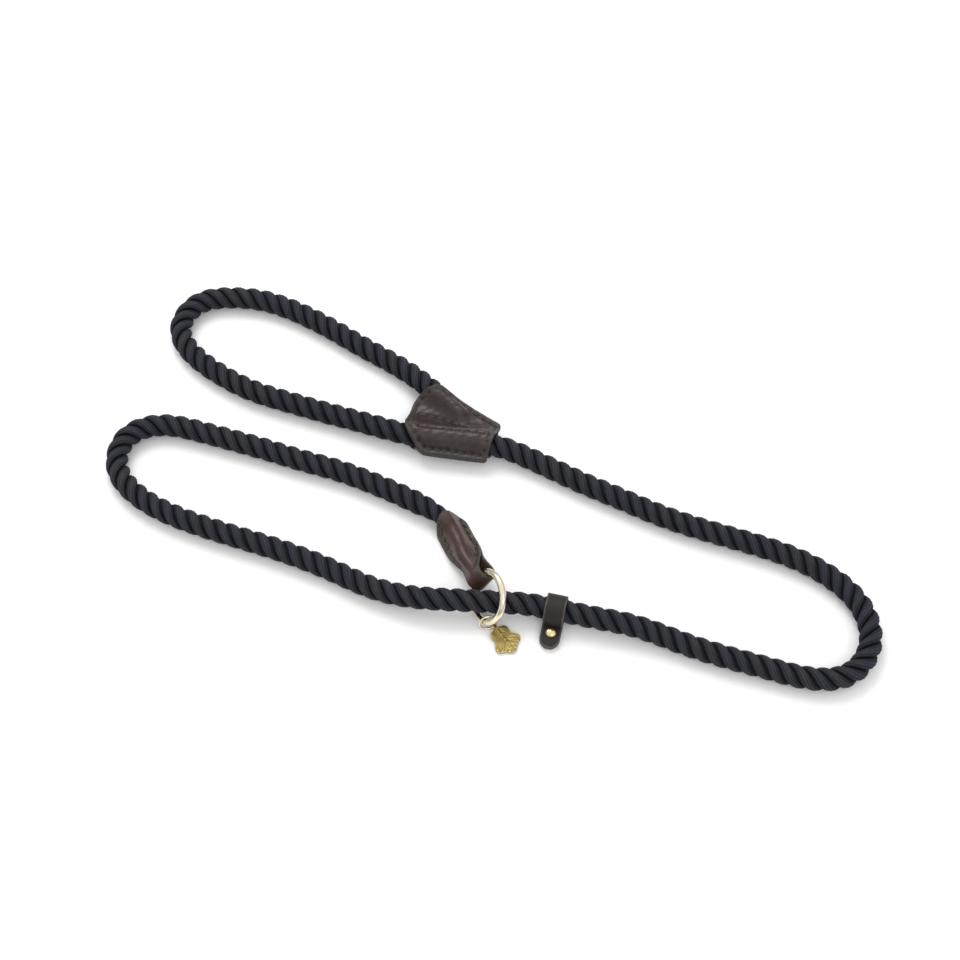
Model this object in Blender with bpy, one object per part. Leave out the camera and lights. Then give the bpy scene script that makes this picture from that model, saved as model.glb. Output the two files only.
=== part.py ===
"""A rope slip lead for a dog, lying loose on a floor: metres, +Z up, the floor at z = 0.

One 12 mm three-strand rope runs from its handle end, round a handle loop, through a stitched leather
splice cover, round a wide bend, through a leather stop and a brass ring, round the slip loop and into
a folded leather tab that holds the ring. A jump ring hangs a leaf charm on the ring.
"""

import math

import bmesh
import bpy
import numpy as np
from mathutils import Matrix, Vector

# ---- driving dimensions -------------------------------------------------------------------------
GAP = 0.0003                 # left between pieces that touch
ROPE_R = 0.006
ROPE_STEP = 0.0165           # distance between the points of a rope tube
LEATHER = 0.0016
THREAD_R = 0.00045

# The rope's route from its handle end to its slip end: hand-placed points that one smooth curve runs
# through. It is raised where it passes over the ring's wire and through the stop and the covers.
ROUTE = [
    (-0.0130, 0.0365, 0.0079), (-0.0225, 0.0466, 0.0079), (-0.0315, 0.0556, 0.0077),
    (-0.0470, 0.0682, 0.0064), (-0.0645, 0.0795, 0.0061), (-0.0815, 0.0906, 0.0061),
    (-0.0990, 0.1010, 0.0061), (-0.1178, 0.1090, 0.0061), (-0.1385, 0.1119, 0.0061),
    (-0.1568, 0.1078, 0.0061), (-0.1651, 0.0920, 0.0061), (-0.1570, 0.0752, 0.0061),
    (-0.1410, 0.0622, 0.0061), (-0.1230, 0.0522, 0.0061), (-0.1030, 0.0450, 0.0061),
    (-0.0830, 0.0386, 0.0062), (-0.0630, 0.0320, 0.0070), (-0.0480, 0.0270, 0.0078),
    (-0.0370, 0.0240, 0.0079), (-0.0270, 0.0222, 0.0079), (-0.0125, 0.0206, 0.0079),
    (0.0010, 0.0190, 0.0079), (0.0112, 0.0163, 0.0076), (0.0215, 0.0121, 0.0065),
    (0.0357, 0.0050, 0.0061), (0.0533, -0.0043, 0.0061), (0.0714, -0.0130, 0.0061),
    (0.0894, -0.0215, 0.0061), (0.1079, -0.0290, 0.0061), (0.1270, -0.0352, 0.0061),
    (0.1460, -0.0417, 0.0061), (0.1643, -0.0498, 0.0061), (0.1806, -0.0613, 0.0061),
    (0.1918, -0.0775, 0.0061), (0.1927, -0.0965, 0.0061), (0.1805, -0.1110, 0.0061),
    (0.1611, -0.1130, 0.0061), (0.1418, -0.1078, 0.0061), (0.1225, -0.1022, 0.0061),
    (0.1035, -0.0957, 0.0061), (0.0850, -0.0885, 0.0068), (0.0720, -0.0848, 0.0081),
    (0.0600, -0.0821, 0.0083), (0.0450, -0.0787, 0.0083), (0.0300, -0.0754, 0.0083),
    (0.0205, -0.0741, 0.0091), (0.0125, -0.0737, 0.0100), (0.0040, -0.0734, 0.0105),
    (-0.0070, -0.0729, 0.0106), (-0.0180, -0.0724, 0.0106), (-0.0290, -0.0714, 0.0102),
    (-0.0430, -0.0684, 0.0083), (-0.0600, -0.0625, 0.0066), (-0.0780, -0.0535, 0.0061),
    (-0.0985, -0.0448, 0.0061), (-0.1265, -0.0350, 0.0061), (-0.1460, -0.0284, 0.0061),
    (-0.1650, -0.0203, 0.0061), (-0.1815, -0.0095, 0.0061), (-0.1922, 0.0060, 0.0061),
    (-0.1885, 0.0238, 0.0061), (-0.1715, 0.0312, 0.0061), (-0.1510, 0.0275, 0.0061),
    (-0.1325, 0.0220, 0.0061), (-0.1145, 0.0164, 0.0061), (-0.0960, 0.0100, 0.0061),
    (-0.0770, 0.0042, 0.0061), (-0.0590, -0.0032, 0.0061), (-0.0430, -0.0108, 0.0063),
    (-0.0318, -0.0168, 0.0067), (-0.0228, -0.0230, 0.0069), (-0.0170, -0.0302, 0.0057),
    (-0.0134, -0.0372, 0.0055), (-0.0110, -0.0420, 0.0067),
]
# The stretches that the rope is modelled in, by the route points where each starts and ends.
STRETCHES = {
    "rope_handle_loop": (0, 18),
    "rope_standing_part": (18, 55),
    "rope_slip_bend": (55, 63),
    "rope_slip_leg": (63, 73),
}
CURVE_SAMPLES = 24           # of the smooth curve, between two route points
END_STUB = 0.0012            # length of the short first and last pieces of a rope tube
# Radius of the rope along the leg's last stretch, where its end is thinned to lie inside the tab:
# (distance back from the rope's end, radius).
TAIL_RADII = [
    (0.0, 0.0024), (0.0070, 0.0024), (0.0090, 0.0029), (0.014, 0.0030), (0.024, 0.0047), (0.036, ROPE_R),
]
# Radius that the tab is formed over there, with the whipping on the end.
TAIL_FORM_RADII = [(0.0, 0.0034), (0.014, 0.0034), (0.024, 0.0048), (0.036, ROPE_R)]
HANDLE_END_RADII = [(0.0, 0.0050), (0.010, 0.0050), (0.018, ROPE_R)]
# Places along the standing part where its straight stretches, through the stop and the ring, start
# and end.
STRAIGHT_PLACES = [0.4082, 0.4512, 0.4609, 0.4775, 0.5105]

# Splice cover: its outline as corners (x, y, corner radius).
COVER_CORNERS = [
    (-0.0228, 0.0515, 0.0060), (0.0094, 0.0297, 0.0022), (0.0010, 0.0078, 0.0018),
    (-0.0335, 0.0125, 0.0085), (-0.0428, 0.0262, 0.0130), (-0.0362, 0.0468, 0.0110),
]
COVER_SEAM_Z = 0.0070        # height of the plane where its two panels meet
COVER_RINGS = (1.0, 0.94, 0.88, 0.80, 0.72, 0.63, 0.54, 0.45, 0.36, 0.27, 0.18, 0.09)
COVER_OUTLINE_POINTS = 64
COVER_ROPE_Z = 0.0079
COVER_CLEAR = 0.0008         # room between the rope and the leather formed over it
EDGE_SEAM_SCALE = 0.885      # where the edge seam runs, as a part of the outline's size
UPPER_SEAM = [(-0.0345, 0.0360), (-0.0250, 0.0340), (-0.0140, 0.0290), (-0.0040, 0.0262)]
LOWER_SEAM = [(-0.0340, 0.0252), (-0.0230, 0.0240), (-0.0110, 0.0228), (0.0005, 0.0210)]

# Folded tab: from its rounded end along its length to the eye that holds the ring.
TAB_START = Vector((-0.0195, -0.0225, 0.0))
TAB_DIRECTION = Vector((0.43, -0.903, 0.0)).normalized()
TAB_HALF_WIDTH = 0.0080
TAB_EYE_HALF_WIDTH = 0.0056
TAB_FLOOR_Z = 0.0018         # height of the plane between its two layers, where it lies flat
TAB_EYE_AT = 0.0415
TAB_EYE_R = 0.0044           # inside radius of the eye
TAB_TURNED = (0.017, 0.040)  # places along the tab where its twist starts and ends
TAB_RAISED = (0.014, 0.043)  # and where it rises to the ring
TAB_NARROWED = (0.020, 0.041)
TAB_OPENS_AT = 0.0300        # where its layers part to make the eye
TAB_SEAM_PLACES = (0.0052, 0.0300)
TAIL_SHOWN = 0.045           # length of the rope's end that the tab is formed over
TAB_EYE_Z = 0.01224
TAB_TWIST = math.radians(52)
TAB_COLUMNS = 13
TAB_CLEAR = 0.0007            # room between the rope's end and the leather formed over it
TAB_ROWS = [
    0.0006, 0.0012, 0.0020, 0.0030, 0.0042, 0.0058, 0.0078, 0.0100, 0.0130,
    0.0160, 0.0190, 0.0220, 0.0250, 0.0280, 0.0310, 0.0335, 0.0360, 0.0385,
]
TAB_SEAM_INSET = 0.0021

# Ring, jump ring and charm.
RING_CENTRE = Vector((0.0020, -0.0719, 0.0129))
RING_NORMAL = Vector((-0.81, -0.275, 0.518)).normalized()
RING_R = 0.0126
RING_WIRE_R = 0.00180
JUMP_R = 0.0042
JUMP_WIRE_R = 0.00055
JUMP_ROOM = 0.00050              # between its wire and the ring's
JUMP_OPPOSITE = Vector((0.0, 0.883, 0.469))   # from the ring's centre, away from the jump ring
JUMP_PLACE = math.radians(-8)    # round the ring from there
JUMP_NORMAL = Vector((0.20, -0.91, 0.36)).normalized()
JUMP_DOWN = Vector((0.72, -0.11, -0.69))
CHARM_LOBE_R = 0.0077
CHARM_CENTRE_AT = 0.0096         # from the bail's centre to the leaf's centre
CHARM_THICKNESS = 0.0013
CHARM_DIRECTION = Vector((0.60, -0.80, -0.055)).normalized()
BAIL_R = 0.0016
BAIL_WIRE_R = 0.00055
CHARM_CROWN = 1.5                # the leaf's height at its middle, over that at its edge
STEM_R = 0.0008
STEM_LENGTH = 0.0035

# Stop: a strap folded round the rope and riveted to itself.
STOP_CENTRE = Vector((0.0360, -0.0767, 0.0083))
STOP_ALONG = Vector((0.9756, -0.2195, 0.0)).normalized()
STOP_WIDTH = 0.0104
STOP_LEATHER = 0.0013
STOP_LOOP_R = 0.0070             # of the strap's middle, round the rope
STOP_TAIL_END = 0.0190           # from the rope's middle to the rounded tip
STOP_UNDER_Z = 0.00135           # height of the middle of the layer under the rope
RIVET_AT = 0.0108
STOP_TAIL_ROWS = [RIVET_AT, 0.0130, 0.0150, 0.0166, 0.0178, 0.0186, STOP_TAIL_END]
RIVET_CAP_R = 0.00275
RIVET_SHANK_R = 0.0013
RIVET_BORE_R = 0.0008
RIVET_PIN_R = 0.0005


# ---- materials ----------------------------------------------------------------------------------
def principled(name, colour, roughness, metallic=0.0):
    material = bpy.data.materials.new(name)
    material.use_nodes = True
    shader = material.node_tree.nodes["Principled BSDF"]
    shader.inputs["Base Color"].default_value = (*colour, 1.0)
    shader.inputs["Roughness"].default_value = roughness
    shader.inputs["Metallic"].default_value = metallic
    return material


def make_materials():
    return {
        "rope": principled("rope_fibre", (0.020, 0.020, 0.027), 0.75),
        "chocolate": principled("chocolate_leather", (0.031, 0.020, 0.017), 0.42),
        "chestnut": principled("chestnut_leather", (0.042, 0.017, 0.014), 0.36),
        "black": principled("black_leather", (0.014, 0.012, 0.011), 0.55),
        "thread": principled("waxed_thread", (0.060, 0.040, 0.030), 0.60),
        "whipping": principled("whipping_twine", (0.320, 0.280, 0.220), 0.80),
        "ring": principled("pale_brass", (0.860, 0.780, 0.620), 0.22, 1.0),
        "charm": principled("antique_brass", (0.460, 0.360, 0.130), 0.35, 1.0),
        "rivet": principled("polished_brass", (0.800, 0.670, 0.330), 0.25, 1.0),
    }


# ---- general shapes -----------------------------------------------------------------------------
def new_object(name, data, material):
    data.materials.append(material)
    item = bpy.data.objects.new(name, data)
    bpy.context.scene.collection.objects.link(item)
    return item


def mesh_object(name, vertices, faces, material, smooth=True):
    mesh = bpy.data.meshes.new(name)
    mesh.from_pydata([tuple(v) for v in vertices], [], faces)
    shape = bmesh.new()
    shape.from_mesh(mesh)
    bmesh.ops.recalc_face_normals(shape, faces=shape.faces)
    shape.to_mesh(mesh)
    shape.free()
    if smooth:
        mesh.shade_smooth()
        mesh.set_sharp_from_angle(angle=math.radians(50))
    return new_object(name, mesh, material)


def smooth_curve(points, samples):
    """A dense natural cubic spline through the points, spaced by the distances between them."""
    places = np.array(points, float)
    gaps = np.linalg.norm(np.diff(places, axis=0), axis=1)
    count = len(places)
    matrix, right = np.eye(count), np.zeros_like(places)
    for i in range(1, count - 1):
        matrix[i, i - 1 : i + 2] = gaps[i - 1], 2 * (gaps[i - 1] + gaps[i]), gaps[i]
        slopes = np.diff(places[i - 1 : i + 2], axis=0) / gaps[i - 1 : i + 1, None]
        right[i] = 6 * (slopes[1] - slopes[0])
    bend = np.linalg.solve(matrix, right)
    found = []
    for i, gap in enumerate(gaps):
        for t in np.arange(samples) / samples:
            sag = gap * gap / 6 * ((t**3 - t) * bend[i + 1] + ((1 - t) ** 3 - (1 - t)) * bend[i])
            found.append(places[i] * (1 - t) + places[i + 1] * t + sag)
    found.append(places[-1])
    return np.array(found)


def evenly(points, step):
    """The same line with points about one step apart, its ends kept."""
    along = np.r_[0, np.cumsum(np.linalg.norm(np.diff(points, axis=0), axis=1))]
    places = np.linspace(0, along[-1], max(2, round(along[-1] / step) + 1))
    return np.stack([np.interp(places, along, points[:, i]) for i in range(3)], axis=1), places


def trimmed(points, start=0.0, end=0.0):
    """The line without its first and last stretches of these lengths."""
    along = np.r_[0, np.cumsum(np.linalg.norm(np.diff(points, axis=0), axis=1))]
    places = along[(along > start) & (along < along[-1] - end)]
    places = np.r_[start, places, along[-1] - end]
    return np.stack([np.interp(places, along, points[:, i]) for i in range(3)], axis=1)


def tube(name, points, radius, material, radii=None, resolution=3, closed=False):
    """A round tube along the points. radii scales it at each point."""
    curve = bpy.data.curves.new(name, "CURVE")
    curve.dimensions = "3D"
    curve.bevel_depth = radius
    curve.bevel_resolution = resolution
    curve.use_fill_caps = not closed
    line = curve.splines.new("POLY")
    line.points.add(len(points) - 1)
    line.use_cyclic_u = closed
    for i, place in enumerate(points):
        line.points[i].co = (*place, 1.0)
        line.points[i].radius = 1.0 if radii is None else radii[i] / radius
    return new_object(name, curve, material)


def frame_of(axis, towards):
    """A rotation whose Z is the axis and whose X points towards the given direction."""
    z = axis.normalized()
    x = (towards - towards.dot(z) * z).normalized()
    return Matrix((x, z.cross(x), z)).transposed()


def torus(name, centre, axis, radius, wire, material, around=40, across=12):
    turn = frame_of(axis, Vector((0.123, 0.456, 0.881)))
    vertices = []
    for i in range(around):
        a = 2 * math.pi * i / around
        for j in range(across):
            b = 2 * math.pi * j / across
            out = radius + wire * math.cos(b)
            vertices.append(
                turn @ Vector((out * math.cos(a), out * math.sin(a), wire * math.sin(b))) + centre
            )
    faces = [
        (
            i * across + j,
            (i + 1) % around * across + j,
            (i + 1) % around * across + (j + 1) % across,
            i * across + (j + 1) % across,
        )
        for i in range(around)
        for j in range(across)
    ]
    return mesh_object(name, vertices, faces, material)


def turned(name, profile, centre, material, sides=24):
    """A solid of revolution about the vertical line through centre, from (radius, height) points.

    The profile starts and ends on the axis, or makes a closed ring round it.
    """
    ring_shaped = profile[0][0] > 0
    vertices, rows = [], []
    for radius, height in profile:
        if radius == 0:
            rows.append([len(vertices)])
            vertices.append(centre + Vector((0, 0, height)))
            continue
        rows.append(list(range(len(vertices), len(vertices) + sides)))
        for i in range(sides):
            a = 2 * math.pi * i / sides
            vertices.append(centre + Vector((radius * math.cos(a), radius * math.sin(a), height)))
    pairs = list(zip(rows, rows[1:] + rows[:1] if ring_shaped else rows[1:]))
    faces = []
    for low, high in pairs:
        for i in range(sides):
            j = i + 1
            corners = [low[i % len(low)], low[j % len(low)], high[j % len(high)], high[i % len(high)]]
            faces.append(tuple(dict.fromkeys(corners)))
    return mesh_object(name, vertices, faces, material)


def boolean(item, other, operation):
    other.hide_render = True
    other.display_type = "WIRE"
    modifier = item.modifiers.new(operation.lower(), "BOOLEAN")
    modifier.object = other
    modifier.operation = operation
    modifier.solver = "EXACT"


def rounded_outline(corners):
    """A closed outline with an arc at each corner."""
    found = []
    for i, (x, y, radius) in enumerate(corners):
        here = Vector((x, y))
        back = (Vector(corners[i - 1][:2]) - here).normalized()
        ahead = (Vector(corners[(i + 1) % len(corners)][:2]) - here).normalized()
        half = back.angle(ahead) / 2
        middle = here + (back + ahead).normalized() * radius / math.sin(half)
        start = here + back * radius / math.tan(half)
        end = here + ahead * radius / math.tan(half)
        for t in np.linspace(0, 1, 9):
            spoke = (start - middle).lerp(end - middle, t).normalized()
            found.append(middle + spoke * radius)
    return np.array([(p.x, p.y, 0.0) for p in found])


# ---- leather formed over rope -------------------------------------------------------------------
def distance_to(line, x, y):
    """Plan distance from a point to a line of points, and the place along it, from 0 to 1."""
    a, b = line[:-1, :2], line[1:, :2]
    run = b - a
    t = np.clip((((x, y) - a) * run).sum(1) / (run * run).sum(1), 0, 1)
    gaps = np.linalg.norm(a + run * t[:, None] - (x, y), axis=1)
    nearest = int(gaps.argmin())
    return gaps[nearest], (nearest + t[nearest]) / len(run)


def above(value, base, softness=0.0006):
    """The larger of the two, with a soft corner, never lower than either."""
    return base + 0.5 * (value - base + math.hypot(value - base, softness))


def over_rope(distance, centre, radius, lean=math.radians(65)):
    """Height of a sheet laid over a round rope: round on top, then straight down at a steep lean."""
    knee = radius * math.sin(lean)
    if distance <= knee:
        return centre + math.sqrt(radius * radius - distance * distance)
    return centre + radius * math.cos(lean) - math.tan(lean) * (distance - knee)


class CoverShape:
    """Heights of the splice cover's two panels, over and under the two ropes that it joins."""

    def __init__(self, lines):
        self.lines = lines

    def bulge(self, x, y, base):
        radius = ROPE_R + COVER_CLEAR
        height = base
        for line in self.lines:
            distance, _ = distance_to(line, x, y)
            height = above(over_rope(distance, COVER_ROPE_Z, radius), height)
        return height

    def front_inner(self, x, y):
        return self.bulge(x, y, COVER_SEAM_Z + GAP / 2)

    def front_outer(self, x, y):
        return self.front_inner(x, y) + LEATHER

    def back_inner(self, x, y):
        mirrored = 2 * COVER_ROPE_Z - self.bulge(x, y, 2 * COVER_ROPE_Z - COVER_SEAM_Z + GAP / 2)
        return max(mirrored, LEATHER)

    def back_outer(self, x, y):
        return self.back_inner(x, y) - LEATHER


def cover_panel(name, upper, lower, outline, material):
    """A closed panel between two height functions, as rings that shrink towards the middle."""
    middle = outline.mean(axis=0)
    count = len(outline)
    vertices, faces = [], []
    for height in (upper, lower):
        for scale in COVER_RINGS:
            for place in middle + (outline - middle) * scale:
                vertices.append((place[0], place[1], height(place[0], place[1])))
        vertices.append((middle[0], middle[1], height(middle[0], middle[1])))
    sheet = len(COVER_RINGS) * count + 1
    for side in (0, sheet):
        for k in range(len(COVER_RINGS) - 1):
            for i in range(count):
                a, b = side + k * count + i, side + k * count + (i + 1) % count
                faces.append((a, b, b + count, a + count))
        last = side + (len(COVER_RINGS) - 1) * count
        faces += [(last + i, last + (i + 1) % count, side + sheet - 1) for i in range(count)]
    faces += [(i, (i + 1) % count, sheet + (i + 1) % count, sheet + i) for i in range(count)]
    return mesh_object(name, vertices, faces, material)


def laid_on(height, places, radius):
    """Points where a thread of this radius rests on a height surface."""
    circle = [(radius * math.cos(a), radius * math.sin(a)) for a in np.radians(range(0, 360, 45))]
    found = []
    for x, y in places:
        rim = max(height(x + dx, y + dy) for dx, dy in circle)
        found.append(Vector((x, y, max(rim, height(x, y) + radius))))
    return found


# ---- the rope -----------------------------------------------------------------------------------
def rope_lines():
    """The stretches of the rope as dense lines, with a small gap between one and the next."""
    whole = smooth_curve(ROUTE, CURVE_SAMPLES)
    lines = {}
    for name, (first, last) in STRETCHES.items():
        line = whole[first * CURVE_SAMPLES : last * CURVE_SAMPLES + 1]
        start = GAP / 2 if first else 0.0
        end = GAP / 2 if last < len(ROUTE) - 1 else 0.0
        lines[name] = trimmed(line, start, end)
    return lines


def make_rope(lines, material):
    for name, line in lines.items():
        length = length_of(line)
        extra = {
            "rope_handle_loop": [row[0] for row in HANDLE_END_RADII[1:]],
            "rope_standing_part": STRAIGHT_PLACES,
            "rope_slip_leg": [length - row[0] for row in TAIL_RADII[1:]],
        }.get(name, [])
        # A point just inside each end turns the end face square to the curve.
        points, places = read_at(line, [END_STUB, *extra, length - END_STUB])
        radii = None
        if name == "rope_handle_loop":
            radii = np.interp(places, *zip(*HANDLE_END_RADII))
        if name == "rope_slip_leg":
            radii = np.interp(length - places, *zip(*TAIL_RADII))
        tube(name, points, ROPE_R, material, radii)


def read_at(line, extra):
    """The line read at even places and at these extra ones, which even ones don't crowd."""
    _, even = evenly(line, ROPE_STEP)
    ends = (even[0], even[-1])
    kept = [p for p in even if p in ends or min(abs(p - e) for e in extra) > 0.004]
    places = np.array(sorted([*kept, *extra]))
    along = np.r_[0, np.cumsum(np.linalg.norm(np.diff(line, axis=0), axis=1))]
    return np.stack([np.interp(places, along, line[:, i]) for i in range(3)], axis=1), places


def length_of(line):
    return float(np.linalg.norm(np.diff(line, axis=0), axis=1).sum())


def make_whipping(name, line, start, end, radius, material):
    """A short band of twine round the rope near one end."""
    along = np.r_[0, np.cumsum(np.linalg.norm(np.diff(line, axis=0), axis=1))]
    centre, ahead = (
        Vector([np.interp(at, along, line[:, i]) for i in range(3)]) for at in (start, end)
    )
    axis = ahead - centre
    turn = frame_of(axis, Vector((0, 0, 1)))
    inner, outer, length = radius + GAP, radius + GAP + 0.0005, axis.length
    profile = [(inner, 0.0), (outer, 0.0), (outer, length), (inner, length)]
    band = turned(name, profile, Vector((0, 0, 0)), material, 20)
    band.data.transform(Matrix.Translation(centre) @ turn.to_4x4())
    return band


def make_whippings(lines, material):
    """The bands that bind the rope's two ends, one inside the splice cover and one inside the tab."""
    handle, leg = lines["rope_handle_loop"], lines["rope_slip_leg"]
    end = length_of(leg)
    make_whipping("handle_end_whipping", handle, 0.0010, 0.0080, HANDLE_END_RADII[0][1], material)
    make_whipping("slip_end_whipping", leg, end - 0.0065, end - 0.0010, TAIL_RADII[0][1], material)


# ---- the splice cover ---------------------------------------------------------------------------
def make_cover(lines, materials):
    outline, _ = evenly(
        np.vstack([rounded_outline(COVER_CORNERS), rounded_outline(COVER_CORNERS)[:1]]), 0.0001
    )
    picks = np.linspace(0, len(outline) - 1, COVER_OUTLINE_POINTS + 1)[:-1].astype(int)
    outline = outline[picks]
    shape = CoverShape([lines["rope_handle_loop"], lines["rope_standing_part"]])
    cover_panel("splice_cover_front", shape.front_outer, shape.front_inner, outline, materials["chocolate"])
    cover_panel("splice_cover_back", shape.back_inner, shape.back_outer, outline, materials["chocolate"])
    middle = outline.mean(axis=0)
    ring = (middle + (outline - middle) * EDGE_SEAM_SCALE)[:, :2]
    lift = THREAD_R + 1.5 * GAP
    tube("cover_edge_thread", laid_on(shape.front_outer, ring, lift), THREAD_R,
         materials["thread"], resolution=1, closed=True)
    for name, seam in (("cover_upper_seam_thread", UPPER_SEAM), ("cover_lower_seam_thread", LOWER_SEAM)):
        line, _ = evenly(smooth_curve([(x, y, 0.0) for x, y in seam], CURVE_SAMPLES), 0.0016)
        tube(name, laid_on(shape.front_outer, line[:, :2], lift), THREAD_R,
             materials["thread"], resolution=1)


# ---- the folded tab -----------------------------------------------------------------------------
def ease(value, start, end):
    t = min(max((value - start) / (end - start), 0.0), 1.0)
    return t * t * (3 - 2 * t)


def tab_point(s, across, height):
    """A point of the tab from its place along it, across it, and off the plane between its layers."""
    twist = TAB_TWIST * ease(s, *TAB_TURNED)
    side = Vector((-TAB_DIRECTION.y, TAB_DIRECTION.x, 0.0))
    up = Vector((0, 0, 1))
    lateral = side * math.cos(twist) + up * math.sin(twist)
    normal = up * math.cos(twist) - side * math.sin(twist)
    z = TAB_FLOOR_Z + (TAB_EYE_Z - TAB_FLOOR_Z) * ease(s, *TAB_RAISED)
    return TAB_START + TAB_DIRECTION * s + up * z + lateral * across + normal * height


def tab_half_width(s):
    width = TAB_HALF_WIDTH + (TAB_EYE_HALF_WIDTH - TAB_HALF_WIDTH) * ease(s, *TAB_NARROWED)
    if s < TAB_HALF_WIDTH:
        width *= math.sqrt(max(1 - (1 - s / TAB_HALF_WIDTH) ** 2, 0.0))
    return width


def tab_height(s, across, tail):
    """Height of the top layer's underside over the plane between the layers: formed over the rope's end,
    and opened at the fold for the ring."""
    place = tab_point(s, across, 0)
    distance, centre, radius = tail_at(tail, place)
    lift = max(centre - place.z, radius + GAP)
    bump = above(over_rope(distance, lift, radius + TAB_CLEAR), GAP / 2, 0.0003)
    return max(bump, layer_height(s))


def layer_height(s):
    """Half of the room between the layers where there's no rope: nearly none, then the eye's radius."""
    opened = ease(s, TAB_OPENS_AT, TAB_EYE_AT)
    return GAP / 2 * (1 - opened) + TAB_EYE_R * opened


def tab_path(across, tail, outside):
    """One column of the strap's inside or outside face: (along, height), over, round the eye and back."""
    depth = LEATHER if outside else 0.0
    radius = TAB_EYE_R + depth
    top = [(s, tab_height(s, across * tab_half_width(s), tail) + depth) for s in TAB_ROWS]
    fold = []
    for i in range(9):
        angle = math.pi * i / 8
        fold.append((TAB_EYE_AT + radius * math.sin(angle), radius * math.cos(angle)))
    back = [(s, -(layer_height(s) + depth)) for s in reversed(TAB_ROWS)]
    return top + fold + back


def tail_at(tail, place):
    """(distance, height, radius to form over) of the rope's end at its nearest point to a place."""
    steps = np.linalg.norm(np.diff(tail, axis=0), axis=1)
    from_end = np.r_[0, np.cumsum(steps)][-1] - np.r_[0, np.cumsum(steps)]
    apart = np.hypot(tail[:, 0] - place.x, tail[:, 1] - place.y)
    nearest = int(apart.argmin())
    radius = np.interp(from_end[nearest], *zip(*TAIL_FORM_RADII))
    return float(apart[nearest]), float(tail[nearest, 2]), float(radius)


def offset_path(path, distance):
    """The path moved sideways, along its own normal."""
    points = np.array(path)
    run = np.gradient(points, axis=0)
    run /= np.linalg.norm(run, axis=1)[:, None]
    return points + np.c_[-run[:, 1], run[:, 0]] * distance


def tab_grid(tail, outside):
    """Rows of points across the strap, on one of its faces."""
    columns = []
    for across in np.linspace(-1, 1, TAB_COLUMNS):
        path = tab_path(across, tail, outside)
        columns.append([tab_point(s, across * tab_half_width(s), height) for s, height in path])
    return list(zip(*columns))


def grid_solid(name, outer, inner, material):
    """A closed strap between two grids of points."""
    rows, columns = len(outer), len(outer[0])
    vertices = [p for grid in (outer, inner) for row in grid for p in row]
    sheet = rows * columns
    faces = []
    for i in range(rows - 1):
        for j in range(columns - 1):
            a = i * columns + j
            quad = (a, a + 1, a + 1 + columns, a + columns)
            faces += [quad, tuple(sheet + v for v in quad)]
    rim = [j for j in range(columns)]
    rim += [i * columns + columns - 1 for i in range(1, rows)]
    rim += [(rows - 1) * columns + j for j in range(columns - 2, -1, -1)]
    rim += [i * columns for i in range(rows - 2, 0, -1)]
    for a, b in zip(rim, rim[1:] + rim[:1]):
        faces.append((a, b, sheet + b, sheet + a))
    return mesh_object(name, vertices, faces, material)


def make_tab(lines, materials):
    leg = lines["rope_slip_leg"]
    tail = trimmed(leg, start=length_of(leg) - TAIL_SHOWN)
    grid_solid("slip_tab", tab_grid(tail, True), tab_grid(tail, False), materials["chestnut"])
    for name, sign in (("tab_left_seam_thread", -1), ("tab_right_seam_thread", 1)):
        points = []
        for s in np.linspace(*TAB_SEAM_PLACES, 14):
            points.append(seam_point(s, sign * (tab_half_width(s) - TAB_SEAM_INSET), tail))
        tube(name, points, THREAD_R, materials["thread"], resolution=1)


def seam_point(s, across, tail):
    """A point just over a thread's radius off the top of the tab."""
    small = 0.0003
    here, ahead, beside = (
        tab_point(u, v, tab_height(u, v, tail) + LEATHER)
        for u, v in ((s, across), (s + small, across), (s, across + small))
    )
    normal = (ahead - here).cross(beside - here).normalized()
    if normal.z < 0:
        normal = -normal
    return here + normal * (THREAD_R + 3 * GAP)


# ---- ring, jump ring and charm ------------------------------------------------------------------
def ring_hold():
    """The place on the ring's wire that the tab's fold holds."""
    eye = TAB_START + TAB_DIRECTION * TAB_EYE_AT + Vector((0, 0, TAB_EYE_Z))
    out = eye - RING_CENTRE
    return RING_CENTRE + RING_R * (out - out.dot(RING_NORMAL) * RING_NORMAL).normalized()


def ring_front():
    """The place on the ring's wire where the jump ring hangs."""
    back = (JUMP_OPPOSITE - JUMP_OPPOSITE.dot(RING_NORMAL) * RING_NORMAL).normalized()
    side = back.cross(RING_NORMAL)
    return RING_CENTRE + RING_R * (side * math.sin(JUMP_PLACE) - back * math.cos(JUMP_PLACE))


def jump_frame():
    """The jump ring's centre, and the direction in its plane from the ring's wire to the charm."""
    down = (JUMP_DOWN - JUMP_DOWN.dot(JUMP_NORMAL) * JUMP_NORMAL).normalized()
    inside = JUMP_R - JUMP_WIRE_R - RING_WIRE_R - JUMP_ROOM
    return ring_front() + down * inside, down


def leaf_reach(angle):
    """The leaf's outline: two shoulders by the stem, two lobes at the sides and a blunt tip."""
    lobes = 0.88 + 0.08 * math.cos(2 * angle) + 0.10 * math.cos(5 * angle) - 0.07 * math.cos(3 * angle)
    return CHARM_LOBE_R * lobes


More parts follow.
